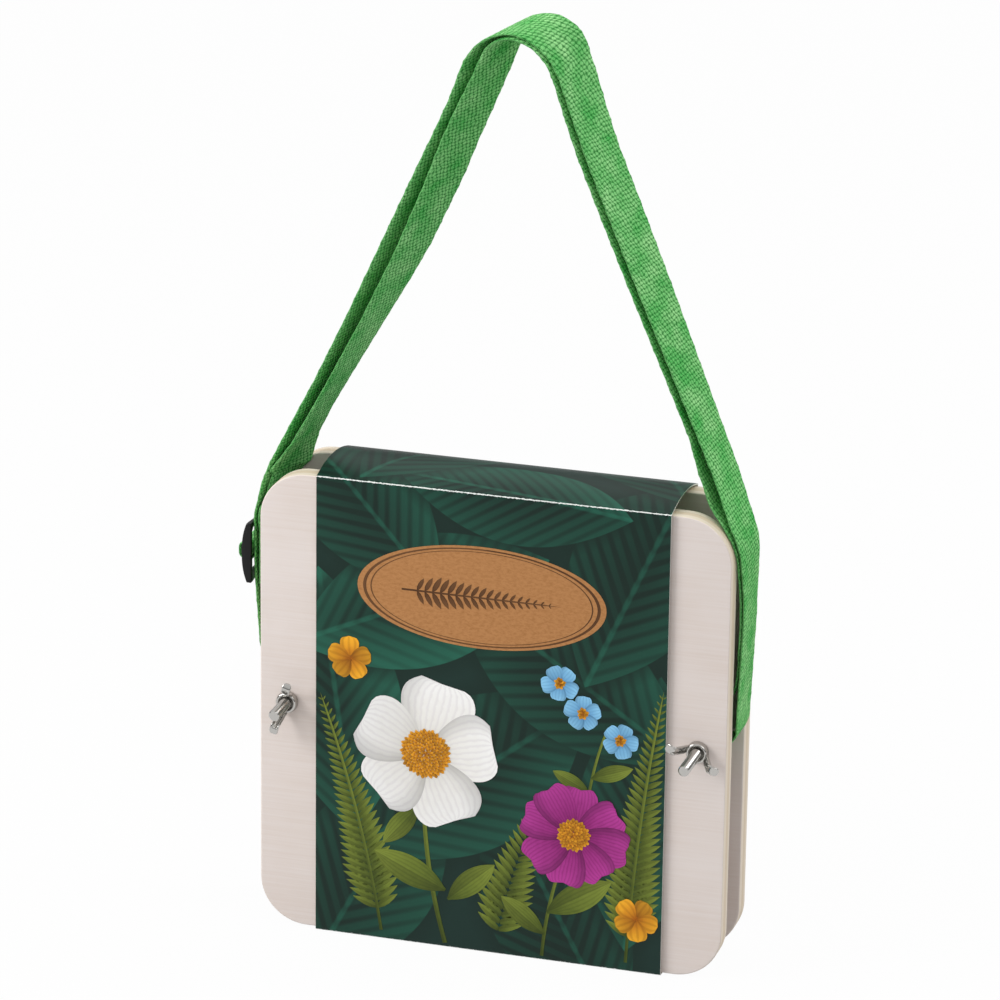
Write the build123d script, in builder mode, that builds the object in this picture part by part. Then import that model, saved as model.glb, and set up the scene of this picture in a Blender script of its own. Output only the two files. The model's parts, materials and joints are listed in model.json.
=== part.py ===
from build123d import *
from math import asin, atan2, ceil, cos, hypot, radians, sin
import os

# Flower press: two plywood boards drawn together by two coach bolts with stamped wing nuts,
# a stack of divider cards and blotting sheets between them, a card sleeve folded round the
# boards, and a carry strap of flat webbing with a slider that sets its length.
# Millimetres. +Z is up, the front faces -Y and +X is to the right. The origin lies on the
# surface that the press stands on, under the middle of the gap between the boards.

# Boards
board_width = 200.0
board_height = 200.0
board_thickness = 9.0
board_corner_radius = 20.0
board_edge_round = 0.6
board_gap = 21.0
board_closing_travel = 1.6

# Coach bolts, heads at the back
bolt_diameter = 4.8
bolt_side_inset = 12.0
bolt_hole_clearance = 0.3
left_bolt_reach = 18.0
right_bolt_reach = 22.8
bolt_end_chamfer = 0.5
bolt_head_diameter = 13.0
bolt_head_height = 2.8
bolt_head_rim = 0.7
bolt_neck_width = 5.0
bolt_neck_length = 4.0
bolt_neck_clearance = 0.1

# Wing nuts, pressed from sheet
nut_bore_clearance = 0.05
nut_seat_gap = 0.05
nut_flange_diameter = 9.4
nut_flange_thickness = 1.1
nut_collar_diameter = 7.4
nut_collar_height = 4.6
nut_collar_round = 0.8
wing_sheet = 0.9
wing_root_radius = 3.2
wing_root_height = 2.4
wing_knee_radius = 5.0
wing_knee_height = 3.4
wing_crook_radius = 8.9
wing_crook_height = 10.2
wing_tip_radius = 11.8
wing_tip_height = 11.2
wing_width = 4.2
wing_flange_depth = 1.5
left_wing_angle = 74.0
right_wing_angle = -22.0

# Stack of levels: a card and two blotting sheets each, and one more card at the front
level_count = 5
sheets_per_level = 2
sheet_side_margin = 25.0
sheet_height = 180.0
card_thickness = 1.9
blotter_thickness = 0.75
stack_fit = 0.05
sheet_foot_clearance = 0.3

# Card sleeve
sleeve_side_margin = 25.0
sleeve_card = 0.5
sleeve_seat = 0.1
sleeve_front_slack = 1.5
sleeve_rear_slack = 0.4
sleeve_top_slack = 0.4
sleeve_crown = 2.8

# Webbing of the carry strap
webbing_width = 22.0
webbing_thickness = 1.5
webbing_layer_gap = 1.0
webbing_board_clearance = 0.4
webbing_draw_start = 4.0
webbing_draw_end = 2.0
strap_left_outreach = 3.7
strap_right_outreach = 2.2
strap_left_shoulder_drop = 22.6
strap_right_shoulder_drop = 13.8
strap_peak_rise = 209.7
strap_peak_offset = 7.3
strap_peak_radius = 14.0
strap_shoulder_radius = 28.0
strap_sway_radius = 100.0
strap_lean_radius = 20.0
strap_return_radius = 10.0
bolt_loop_clearance = 0.3
left_sway_rise = 53.4
left_return_inset = 3.05
left_return_rise = 17.4
left_fork_inset = 2.95
left_fork_rise = 18.6
strap_tail_lean = 1.8
strap_tail_length = 21.5
right_sway_rise = 51.4
right_return_inset = 2.5
right_return_rise = 0.5
right_fork_inset = 1.05
right_fork_rise = 23.4
right_inner_outset = 0.35
right_inner_rise = 49.4
strap_end_rise = 47.0
strap_left_yaw = 22.0
strap_right_yaw = 12.0
strap_peak_yaw = 35.0
strap_peak_tilt = 13.0
yaw_start_share = 0.2
yaw_turn_share = 0.7
strap_leg_step = 16.0
strap_fork_step = 4.0
strap_bend_step = 18.0

# Slider of the strap
slider_length = 26.0
slider_side_wall = 2.6
slider_rail_height = 3.8
slider_thickness = 3.2
slider_bulge = 1.6
slider_rise = 61.0
slider_strap_gap = 0.4
slider_window_clearance = 0.4
slider_bar_height = 4.4
slider_bar_thickness = 1.7
slider_edge_round = 0.8
end_loop_bar_clearance = 0.3
end_loop_layers = 2

# Places that follow from the sizes
board_foot = sleeve_card + sleeve_seat
board_middle = board_foot + board_height / 2
board_top = board_foot + board_height
half_gap = board_gap / 2
front_face = -half_gap - board_thickness
back_face = half_gap + board_thickness
bolt_x = board_width / 2 - bolt_side_inset
bolt_z = board_middle
bolt_radius = bolt_diameter / 2
bolt_hole_radius = bolt_radius + bolt_hole_clearance

os.makedirs("parts", exist_ok=True)


def facing_plane(y):
    """Upright plane at y that looks to the front, with X across and Z up."""
    return Plane.XZ.offset(-y)


def write_part(part, label):
    """Label a finished piece and write it under its own name."""
    part.label = label
    export_step(part, f"parts/{label}.step")


# Boards: square plates with rounded corners and a bolt hole at each side
def make_board(rear_y):
    """Board whose rear face lies at rear_y, with plain holes for the two bolts."""
    with BuildPart() as plate:
        with BuildSketch(facing_plane(rear_y)):
            with Locations((0, board_middle)):
                RectangleRounded(board_width, board_height, board_corner_radius)
            with Locations((-bolt_x, bolt_z), (bolt_x, bolt_z)):
                Circle(bolt_hole_radius, mode=Mode.SUBTRACT)
        extrude(amount=board_thickness)
        faces_by_depth = plate.faces().filter_by(Axis.Y).sort_by(Axis.Y)
        rims = faces_by_depth[0].outer_wire().edges() + faces_by_depth[-1].outer_wire().edges()
        fillet(rims, board_edge_round)
    return plate.part


with BuildPart() as front_board:
    add(make_board(-half_gap))
write_part(front_board.part, "front_board")

with BuildPart() as back_board:
    add(make_board(back_face))
    # square pockets that stop the bolts from turning
    with BuildSketch(facing_plane(back_face)):
        with Locations((-bolt_x, bolt_z), (bolt_x, bolt_z)):
            Rectangle(bolt_neck_width + 2 * bolt_neck_clearance, bolt_neck_width + 2 * bolt_neck_clearance)
    extrude(amount=bolt_neck_length + bolt_neck_clearance, mode=Mode.SUBTRACT)
write_part(back_board.part, "back_board")


# Coach bolts: domed head, square neck and a long shank through both boards
def make_bolt(x, reach):
    """Bolt at x whose end stands out in front of the front board by reach."""
    head_radius = bolt_head_diameter / 2
    with BuildPart() as bolt:
        with BuildSketch(Plane((x, back_face, bolt_z), x_dir=(1, 0, 0), z_dir=(0, 0, 1))):
            with BuildLine():
                Polyline((0, bolt_head_height), (0, 0), (head_radius, 0), (head_radius, bolt_head_rim))
                TangentArc((0, bolt_head_height), (head_radius, bolt_head_rim), tangent=(1, 0))
            make_face()
        revolve(axis=Axis((x, 0, bolt_z), (0, 1, 0)))
        with BuildSketch(facing_plane(back_face)):
            with Locations((x, bolt_z)):
                Rectangle(bolt_neck_width, bolt_neck_width)
        extrude(amount=bolt_neck_length)
        with BuildSketch(facing_plane(back_face)):
            with Locations((x, bolt_z)):
                Circle(bolt_radius)
        extrude(amount=back_face - front_face + reach)
        chamfer(bolt.edges().filter_by(GeomType.CIRCLE).sort_by(Axis.Y)[0], bolt_end_chamfer)
    return bolt.part


write_part(make_bolt(-bolt_x, left_bolt_reach), "left_bolt")
write_part(make_bolt(bolt_x, right_bolt_reach), "right_bolt")


# Wing nuts: a flanged collar and two bent wings with turned-up sides
def make_wing_nut(x, wing_angle):
    """Wing nut on the bolt at x, its wings along wing_angle, in degrees from +X towards +Z."""
    bore_radius = bolt_radius + nut_bore_clearance
    seat = Vector(x, front_face - nut_seat_gap, bolt_z)
    forward = Vector(0, -1, 0)
    with BuildPart() as nut:
        with BuildSketch(facing_plane(seat.Y)):
            with Locations((x, bolt_z)):
                Circle(nut_flange_diameter / 2)
        extrude(amount=nut_flange_thickness)
        with BuildSketch(facing_plane(seat.Y)):
            with Locations((x, bolt_z)):
                Circle(nut_collar_diameter / 2)
        extrude(amount=nut_collar_height)
        fillet(nut.faces().sort_by(Axis.Y)[0].edges(), nut_collar_round)
        for turn in (wing_angle, wing_angle + 180):
            outward = Vector(cos(radians(turn)), 0, sin(radians(turn)))
            side = Plane(seat, x_dir=outward, z_dir=outward.cross(forward))
            with BuildSketch(side):
                with BuildLine():
                    Polyline(
                        (wing_root_radius, wing_root_height),
                        (wing_knee_radius, wing_knee_height),
                        (wing_crook_radius, wing_crook_height),
                        (wing_tip_radius, wing_tip_height),
                    )
                trace(line_width=wing_sheet)
            extrude(amount=wing_width / 2, both=True)
            for flank in (-1, 1):
                with BuildSketch(side.offset(flank * (wing_width - wing_sheet) / 2)):
                    with BuildLine():
                        Polyline(
                            (wing_knee_radius, wing_knee_height),
                            (wing_crook_radius, wing_crook_height),
                            (wing_crook_radius - wing_flange_depth, wing_crook_height),
                            (wing_knee_radius - wing_flange_depth, wing_knee_height),
                            close=True,
                        )
                    make_face()
                extrude(amount=wing_sheet / 2, both=True)
        with BuildSketch(facing_plane(seat.Y)):
            with Locations((x, bolt_z)):
                Circle(bore_radius)
        extrude(amount=nut_collar_height, mode=Mode.SUBTRACT)
    return nut.part


write_part(make_wing_nut(-bolt_x, left_wing_angle), "left_wing_nut")
write_part(make_wing_nut(bolt_x, right_wing_angle), "right_wing_nut")


# Stack: each level is a divider card with two blotting sheets in front of it
card_count = level_count + 1
level_solid = card_thickness + sheets_per_level * blotter_thickness
stack_room = board_gap - 2 * stack_fit
level_gap = (stack_room - level_count * level_solid - card_thickness) / level_count
sheet_width = board_width - 2 * sheet_side_margin
sheet_foot = sleeve_card + sheet_foot_clearance


def make_sheet(rear_y, thickness):
    """Upright sheet whose rear face lies at rear_y."""
    with BuildPart() as sheet:
        with BuildSketch(facing_plane(rear_y)):
            with Locations((0, sheet_foot + sheet_height / 2)):
                Rectangle(sheet_width, sheet_height)
        extrude(amount=thickness)
    return sheet.part


for level in range(card_count):
    card_rear = half_gap - stack_fit - level * (level_solid + level_gap)
    write_part(make_sheet(card_rear, card_thickness), f"divider_card_{level + 1}")
    if level < level_count:
        for sheet_index in range(sheets_per_level):
            sheet_rear = card_rear - card_thickness - sheet_index * blotter_thickness
            sheet_number = level * sheets_per_level + sheet_index + 1
            write_part(make_sheet(sheet_rear, blotter_thickness), f"blotting_sheet_{sheet_number}")

# Card sleeve: one closed band round the boards, its top arched up between two creases
sleeve_width = board_width - 2 * sleeve_side_margin
sleeve_front = front_face - sleeve_front_slack - sleeve_card
sleeve_back = back_face + sleeve_rear_slack + sleeve_card
sleeve_shoulder = board_top + sleeve_top_slack + sleeve_card
with BuildPart() as printed_sleeve:
    with BuildSketch(Plane.YZ.offset(-sleeve_width / 2)):
        with BuildLine():
            Polyline(
                (sleeve_front, sleeve_shoulder),
                (sleeve_front, 0),
                (sleeve_back, 0),
                (sleeve_back, sleeve_shoulder),
            )
            crown = ((sleeve_front + sleeve_back) / 2, sleeve_shoulder + sleeve_crown)
            ThreePointArc((sleeve_back, sleeve_shoulder), crown, (sleeve_front, sleeve_shoulder))
        make_face()
        offset(amount=-sleeve_card, kind=Kind.INTERSECTION, mode=Mode.SUBTRACT)
    extrude(amount=sleeve_width)
write_part(printed_sleeve.part, "printed_sleeve")

# Middle line of the doubled webbing: up the left side, over the peak and down the right side
strap_left = -board_width / 2 - strap_left_outreach
strap_right = board_width / 2 + strap_right_outreach
left_shoulder = Vector(strap_left, board_top - strap_left_shoulder_drop)
right_shoulder = Vector(strap_right, board_top - strap_right_shoulder_drop)
peak = Vector(strap_peak_offset, board_top + strap_peak_rise)
layer_shift = (webbing_thickness + webbing_layer_gap) / 2
loop_radius = bolt_radius + bolt_loop_clearance + webbing_thickness / 2
left_bolt_axis = Vector(-bolt_x, bolt_z)
right_bolt_axis = Vector(bolt_x, bolt_z)


def left_hand(direction):
    """Direction turned a quarter turn to its left."""
    return Vector(-direction.Y, direction.X)


def shifted_corner(before, corner, after, shift):
    """Corner of a line that runs beside another, to its left by shift."""
    arriving = left_hand((corner - before).normalized())
    leaving = left_hand((after - corner).normalized())
    return corner + (arriving + leaving) * (shift / (1 + arriving.dot(leaving)))


def loop_corner(start, axis, far_side, turn_side):
    """Corner beyond a bolt of the line from start that touches the loop round it.

    far_side is 1 where the loop's far side lies at +X of the bolt and -1 where it lies at -X.
    turn_side is 1 where the line passes to the left of the bolt, seen from start, and else -1.
    """
    reach = axis - start
    heading = atan2(reach.Y, reach.X) + turn_side * asin(loop_radius / reach.length)
    far_x = axis.X + far_side * loop_radius
    run = (far_x - start.X) / cos(heading)
    return Vector(far_x, start.Y + run * sin(heading))


def strap_layer(shift):
    """Left shoulder, peak and right shoulder of one layer of the webbing."""
    left_foot = Vector(strap_left, 0)
    right_foot = Vector(strap_right, 0)
    return [
        shifted_corner(left_foot, left_shoulder, peak, shift),
        shifted_corner(left_shoulder, peak, right_shoulder, shift),
        shifted_corner(peak, right_shoulder, right_foot, shift),
    ]


# One length of webbing: sewn tail, left bolt, outer layer, right bolt, inner layer
left_outer_x = strap_left - layer_shift
left_inner_x = strap_left + layer_shift
right_outer_x = strap_right + layer_shift
right_inner_x = strap_right - layer_shift
left_fork = Vector(left_inner_x + left_fork_inset, bolt_z + left_fork_rise)
left_return = Vector(left_outer_x + left_return_inset, bolt_z + left_return_rise)
right_return = Vector(right_outer_x - right_return_inset, bolt_z + right_return_rise)
right_fork = Vector(right_inner_x - right_fork_inset, bolt_z + right_fork_rise)
strap_corners = [
    left_fork,
    loop_corner(left_fork, left_bolt_axis, 1, 1),
    loop_corner(left_return, left_bolt_axis, 1, -1),
    left_return,
    Vector(left_outer_x, bolt_z + left_sway_rise),
    *strap_layer(layer_shift),
    Vector(right_outer_x, bolt_z + right_sway_rise),
    right_return,
    loop_corner(right_return, right_bolt_axis, -1, 1),
    loop_corner(right_fork, right_bolt_axis, -1, -1),
    right_fork,
    Vector(right_inner_x + right_inner_outset, bolt_z + right_inner_rise),
    *reversed(strap_layer(-layer_shift)),
]
bend_radii = [strap_shoulder_radius, strap_peak_radius, strap_shoulder_radius]
loop_bend = loop_radius - bolt_loop_clearance
left_loop_radii = [strap_lean_radius, loop_bend, loop_bend, strap_lean_radius, strap_sway_radius]
right_loop_radii = [strap_sway_radius, strap_return_radius, loop_bend, loop_bend]
right_loop_radii += [strap_lean_radius, strap_sway_radius]
outer_radii = [radius + layer_shift for radius in bend_radii]
inner_radii = [radius - layer_shift for radius in bend_radii]
strap_start = left_fork + Vector(-strap_tail_lean, strap_tail_length)
strap_end = Vector(left_inner_x, bolt_z + strap_end_rise)
with BuildLine():
    strap_path = FilletPolyline(
        strap_start,
        *strap_corners,
        strap_end,
        radius=left_loop_radii + outer_radii + right_loop_radii + inner_radii,
        mode=Mode.PRIVATE,
    )
strap_crest = strap_path.bounding_box().max.Y


def upright(flat):
    """Point or direction of the strap's path, stood up in the plane between the boards."""
    return Vector(flat.X, 0, flat.Y)


def ease(share):
    """Smooth step from 0 to 1 as share goes from 0 to 1."""
    held = min(max(share, 0), 1)
    return held * held * (3 - 2 * held)


def strap_across(place):
    """Direction from the front edge of the webbing to its rear edge, which swings right towards the peak."""
    on_left = place.X < strap_peak_offset
    foot = left_shoulder.Y if on_left else right_shoulder.Y
    climb = (place.Z - foot) / (strap_crest - foot)
    leg_yaw = strap_left_yaw if on_left else strap_right_yaw
    near_peak = ease((climb - yaw_turn_share) / (1 - yaw_turn_share))
    yaw = radians(ease(climb / yaw_start_share) * (leg_yaw + (strap_peak_yaw - leg_yaw) * near_peak))
    tilt = radians(strap_peak_tilt * near_peak)
    return Vector(sin(yaw) * cos(tilt), cos(yaw) * cos(tilt), sin(tilt))


def board_distance(place):
    """Distance from a place to the boards' outline, seen from the front."""
    beyond_x = abs(place.X) - board_width / 2 + board_corner_radius
    beyond_z = abs(place.Z - board_middle) - board_height / 2 + board_corner_radius
    inside = min(max(beyond_x, beyond_z), 0)
    return hypot(max(beyond_x, 0), max(beyond_z, 0)) + inside - board_corner_radius


def strap_spread(place):
    """Share from 0, where the webbing lies drawn in between the boards, to 1, clear of them."""
    return ease((board_distance(place) - webbing_draw_end) / (webbing_draw_start - webbing_draw_end))


def strap_width(place):
    """Width of the webbing, which leaves the front board room to close where it is drawn in."""
    drawn_width = board_gap - board_closing_travel - 2 * webbing_board_clearance
    return drawn_width + (webbing_width - drawn_width) * strap_spread(place)


def strap_set_back(place):
    """How far the middle of the webbing is pushed back from the closing front board."""
    return Vector(0, board_closing_travel / 2 * (1 - strap_spread(place)), 0)


def strap_stations():
    """Lengths along the path of the webbing's sections, closer together in bends and by the boards."""
    lengths = [0]
    for edge in strap_path.order_edges():
        if edge.geom_type == GeomType.LINE:
            beside_boards = edge.center().Y < board_top
            steps = ceil(edge.length / (strap_fork_step if beside_boards else strap_leg_step))
        else:
            steps = ceil(edge.length / edge.radius / radians(strap_bend_step))
        start = lengths[-1]
        lengths += [start + edge.length * (step + 1) / steps for step in range(steps)]
    return lengths


with BuildPart() as carry_strap:
    for station in strap_stations():
        place = upright(strap_path.position_at(station, position_mode=PositionMode.LENGTH))
        along = upright(strap_path.tangent_at(station, position_mode=PositionMode.LENGTH))
        across = strap_across(place)
        ahead = along - across * along.dot(across)
        with BuildSketch(Plane(place + strap_set_back(place), x_dir=across, z_dir=ahead)):
            Rectangle(strap_width(place), webbing_thickness)
    loft(ruled=True)
write_part(carry_strap.part, "carry_strap")

# Slider: a bulged frame with a middle bar that the strap's end is sewn round
slider_middle = bolt_z + slider_rise
slider_inner_x = strap_left - layer_shift - webbing_thickness / 2 - slider_strap_gap
window_width = webbing_width + 2 * slider_window_clearance
slider_width = window_width + 2 * slider_side_wall
window_height = slider_length - 2 * slider_rail_height
end_loop_thickness = end_loop_layers * webbing_thickness
bar_inner_x = slider_inner_x - webbing_thickness - end_loop_bar_clearance
bar_middle_x = bar_inner_x - slider_bar_thickness / 2
slider_frame_x = slider_inner_x - slider_strap_gap
with BuildPart() as strap_slider:
    with BuildSketch(Plane.XZ):
        slider_low = slider_middle - slider_length / 2
        slider_high = slider_middle + slider_length / 2
        slider_outer_x = slider_frame_x - slider_thickness
        with BuildLine():
            Polyline(
                (slider_outer_x, slider_low),
                (slider_frame_x, slider_low),
                (slider_frame_x, slider_high),
                (slider_outer_x, slider_high),
            )
            ThreePointArc(
                (slider_outer_x, slider_high),
                (slider_outer_x - slider_bulge, slider_middle),
                (slider_outer_x, slider_low),
            )
        make_face()
    extrude(amount=slider_width / 2, both=True)
    fillet(strap_slider.edges().filter_by(Axis.Y), slider_edge_round)
    with BuildSketch(Plane.YZ.offset(slider_frame_x)):
        with Locations((0, slider_middle)):
            Rectangle(window_width, window_height)
    extrude(amount=-slider_thickness - slider_bulge, mode=Mode.SUBTRACT)
    with Locations((bar_middle_x, 0, slider_middle)):
        Box(slider_bar_thickness, slider_width - slider_side_wall, slider_bar_height)
write_part(strap_slider.part, "strap_slider")

# End of the strap, sewn round the slider's middle bar
with BuildPart() as strap_end_loop:
    loop_low = slider_middle - slider_bar_height / 2 - end_loop_bar_clearance
    loop_high = slider_middle + slider_bar_height / 2 + end_loop_bar_clearance
    hole_outer_x = bar_inner_x - slider_bar_thickness - end_loop_bar_clearance
    hole_inner_x = bar_inner_x + end_loop_bar_clearance
    with BuildSketch(Plane.XZ):
        with Locations(((hole_outer_x - end_loop_thickness + slider_inner_x) / 2, slider_middle)):
            RectangleRounded(
                slider_inner_x - hole_outer_x + end_loop_thickness,
                loop_high - loop_low + 2 * webbing_thickness,
                webbing_thickness,
            )
        with Locations(((hole_outer_x + hole_inner_x) / 2, slider_middle)):
            Rectangle(hole_inner_x - hole_outer_x, loop_high - loop_low, mode=Mode.SUBTRACT)
    extrude(amount=webbing_width / 2, both=True)
write_part(strap_end_loop.part, "strap_end_loop")
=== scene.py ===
"""Looks of a flower press: plywood boards, stamped wing nuts, a printed card sleeve and a webbing strap."""

import json
import logging
import math
from dataclasses import dataclass
from enum import Enum
from functools import partial
from typing import Any, Callable, Sequence

import bpy
import numpy as np
from mathutils import Matrix, Vector

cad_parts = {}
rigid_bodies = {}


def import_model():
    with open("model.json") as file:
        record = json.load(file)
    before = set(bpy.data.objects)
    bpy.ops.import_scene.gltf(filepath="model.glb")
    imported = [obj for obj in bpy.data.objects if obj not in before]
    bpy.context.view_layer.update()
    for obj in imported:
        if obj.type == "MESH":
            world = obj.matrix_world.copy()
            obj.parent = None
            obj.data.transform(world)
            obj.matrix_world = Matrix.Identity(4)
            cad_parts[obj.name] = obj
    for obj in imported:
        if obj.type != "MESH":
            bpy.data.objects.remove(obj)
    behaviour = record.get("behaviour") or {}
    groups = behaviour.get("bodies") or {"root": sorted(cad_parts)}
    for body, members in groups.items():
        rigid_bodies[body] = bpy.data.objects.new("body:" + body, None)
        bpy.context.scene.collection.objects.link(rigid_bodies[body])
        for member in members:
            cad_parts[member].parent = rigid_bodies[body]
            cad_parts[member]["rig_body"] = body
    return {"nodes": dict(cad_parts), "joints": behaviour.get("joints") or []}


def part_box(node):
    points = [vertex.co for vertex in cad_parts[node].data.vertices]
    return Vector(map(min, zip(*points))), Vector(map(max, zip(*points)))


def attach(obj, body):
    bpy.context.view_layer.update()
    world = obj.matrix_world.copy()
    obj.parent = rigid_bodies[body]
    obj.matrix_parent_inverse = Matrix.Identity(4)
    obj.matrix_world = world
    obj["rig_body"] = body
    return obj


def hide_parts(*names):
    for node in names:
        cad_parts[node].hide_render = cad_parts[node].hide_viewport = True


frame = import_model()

LOG = logging.getLogger("flower_press")
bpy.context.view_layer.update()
Array = np.ndarray
Piece = bpy.types.Object
Material = bpy.types.Material
Colour = tuple[float, float, float, float]
Marks = Sequence[tuple[float, float]]


class Body(Enum):
    """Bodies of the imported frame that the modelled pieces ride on."""

    PRESS = "press"
    LEFT_NUT = "left_nut"
    RIGHT_NUT = "right_nut"
    SLEEVE = "sleeve"
    SLIDER = "slider"


class Slot(Enum):
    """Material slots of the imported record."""

    STEEL = "plated_steel"
    DIVIDER = "divider_card"
    SLEEVE = "sleeve_card"
    WEBBING = "webbing"
    SLIDER = "slider_plastic"


def mm(value: float) -> float:
    """Length in metres of a length in millimetres."""
    return value * 0.001


# Vertices nearer to each other than this are one.
MEETING = mm(0.002)
# Thickness of everything that is printed on the sleeve.
INK_FILM = mm(0.03)


def srgb(code: str) -> Colour:
    """Linear colour of an sRGB hex code.

    Args:
        code: a hash and six hex digits.

    Returns:
        Linear red, green and blue, and an opaque alpha.
    """
    shares = [int(code[i:i + 2], 16) / 255 for i in (1, 3, 5)]
    linear = [c / 12.92 if c <= 0.04045 else ((c + 0.055) / 1.055) ** 2.4 for c in shares]
    return (linear[0], linear[1], linear[2], 1.0)


def ease(share: Array) -> Array:
    """Smooth step from 0 to 1 as share goes from 0 to 1."""
    held = np.clip(share, 0, 1)
    return held * held * (3 - 2 * held)


def by_marks(share: Array, marks: Marks) -> Array:
    """Value at each share, between marks that each give a share and a value."""
    return np.interp(share, *zip(*marks))


class Graph:
    """Node tree to which one method adds nodes."""

    def __init__(self, tree: bpy.types.NodeTree) -> None:
        """Work on a material's or the world's tree."""
        self.tree = tree

    def plug(self, socket: bpy.types.NodeSocket, value: Any) -> None:
        """Link a node or an output to an input, or set the input's constant.

        Args:
            socket: the input.
            value: a node, whose first live output is used, an output, or a constant.
        """
        if isinstance(value, bpy.types.Node):
            value = next(output for output in value.outputs if output.enabled)
        if isinstance(value, bpy.types.NodeSocket):
            self.tree.links.new(value, socket)
        else:
            socket.default_value = value

    def add(self, kind: str, *inputs: Any, **settings: Any) -> bpy.types.Node:
        """Add a node with its settings and links.

        Args:
            kind: the node's type, without its common first part.
            inputs: what its live inputs, in order, are linked or set to, or one dict that names them.
            settings: the node's own properties.

        Returns:
            The new node.
        """
        node = self.tree.nodes.new("ShaderNode" + kind)
        for key, value in settings.items():
            setattr(node, key, value)
        if inputs and isinstance(inputs[0], dict):
            chosen = [(node.inputs[key], value) for key, value in inputs[0].items()]
        else:
            chosen = list(zip([socket for socket in node.inputs if socket.enabled], inputs))
        for socket, value in chosen:
            self.plug(socket, value)
        return node


class Surface(Graph):
    """Node material with a Principled shader."""

    def __init__(self, name: str, constants: dict[str, Any]) -> None:
        """Start a material whose shader has these constant inputs."""
        self.material = bpy.data.materials.new(name)
        self.material.use_nodes = True
        super().__init__(self.material.node_tree)
        self.shader = self.tree.nodes["Principled BSDF"]
        for socket, value in constants.items():
            self.plug(self.shader.inputs[socket], value)

    def drive(self, **inputs: Any) -> None:
        """Link or set inputs of the shader, named with an underscore for each space."""
        for key, value in inputs.items():
            self.plug(self.shader.inputs[key.replace("_", " ")], value)


@dataclass(frozen=True)
class Plywood:
    """Sanded basswood plywood, unlacquered: pale, faintly streaked faces and layered edges."""

    face: str = "#E1D7D2"
    streak: str = "#DACDC5"
    edge: str = "#DFD2C0"
    core: str = "#D4C3AB"
    glue: str = "#B6A088"
    streak_pitch: float = mm(0.9)
    streak_length: float = mm(46)
    cloud: float = mm(38)
    ply: float = mm(3.0)
    glue_width: float = mm(0.22)
    outer_depth: float = mm(19.5)
    waver: float = mm(0.3)
    grain_height: float = mm(0.06)

    def material(self) -> Material:
        """Material that reads a board's own place for its plies."""
        s = Surface("sanded_basswood_plywood", {"Roughness": 0.62, "Specular IOR Level": 0.35})
        place = s.add("TexCoord").outputs["Object"]
        stretch = (1 / self.streak_length, 1 / self.streak_pitch, 1 / self.streak_pitch)
        along_grain = s.add("Mapping", {"Vector": place, "Scale": stretch})
        grain = s.add("TexNoise", {"Vector": along_grain, "Scale": 1.0, "Detail": 5.0, "Roughness": 0.62})
        clouds = s.add("TexNoise", {"Vector": place, "Scale": 1 / self.cloud, "Detail": 2.0})
        tone = s.add("Math", grain, clouds, operation="MULTIPLY")
        amount = s.add("MapRange", {"Value": tone, "From Min": 0.14, "From Max": 0.42})
        face = s.add("Mix", amount, srgb(self.face), srgb(self.streak), data_type="RGBA")
        depth = s.add("SeparateXYZ", {"Vector": place}).outputs["Y"]
        from_middle = s.add("Math", depth, operation="ABSOLUTE")
        from_outside = s.add("Math", self.outer_depth, from_middle, operation="SUBTRACT")
        waver = s.add("Math", grain, self.waver, from_outside, operation="MULTIPLY_ADD")
        in_ply = s.add("Math", waver, self.ply, operation="PINGPONG")
        at_glue = s.add("MapRange", {"Value": in_ply, "From Min": self.glue_width, "From Max": 0.0})
        # Three plies: the middle one is darker, with a line of glue along its inner side.
        outermost = s.add("Math", waver, self.ply / 2, operation="GREATER_THAN")
        innermost = s.add("Math", waver, self.ply * 2.5, operation="LESS_THAN")
        inside = s.add("Math", outermost, innermost, operation="MULTIPLY")
        glue = s.add("Math", at_glue, inside, operation="MULTIPLY")
        crossband = s.add("Math", waver, self.ply * 1.5, self.ply / 2, operation="COMPARE")
        plies = s.add("Mix", crossband, srgb(self.edge), srgb(self.core), data_type="RGBA")
        lined = s.add("Mix", glue, plies, srgb(self.glue), data_type="RGBA")
        normal = s.add("SeparateXYZ", {"Vector": s.add("NewGeometry").outputs["Normal"]}).outputs["Y"]
        facing = s.add("Math", normal, operation="ABSOLUTE")
        on_face = s.add("MapRange", {"Value": facing, "From Min": 0.5, "From Max": 0.8})
        colour = s.add("Mix", on_face, lined, face, data_type="RGBA")
        bump = s.add("Bump", {"Height": grain, "Distance": self.grain_height, "Strength": 0.35})
        s.drive(Base_Color=colour, Normal=bump)
        return s.material


@dataclass(frozen=True)
class PlatedSteel:
    """Bright zinc-plated steel, pressed and tumbled: a clear reflection with faint haze and scratches."""

    colour: str = "#B8B6B2"
    haze: float = mm(2.4)
    # Real scratches are finer than a pixel: drawn about a pixel wide so that they show.
    scratch: float = mm(0.35)
    scratch_depth: float = mm(0.01)

    def material(self) -> Material:
        """Material for bolts and wing nuts."""
        s = Surface("zinc_plated_steel", {"Base Color": srgb(self.colour), "Metallic": 1.0})
        place = s.add("TexCoord").outputs["Object"]
        haze = s.add("TexNoise", {"Vector": place, "Scale": 1 / self.haze, "Detail": 4.0})
        rough = s.add("MapRange", {"Value": haze, "From Min": 0.3, "From Max": 0.7,
                                   "To Min": 0.05, "To Max": 0.16})
        fine = s.add("TexNoise", {"Vector": place, "Scale": 1 / self.scratch, "Detail": 2.0})
        bump = s.add("Bump", {"Height": fine, "Distance": self.scratch_depth, "Strength": 0.2})
        s.drive(Roughness=rough, Normal=bump)
        return s.material


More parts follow.
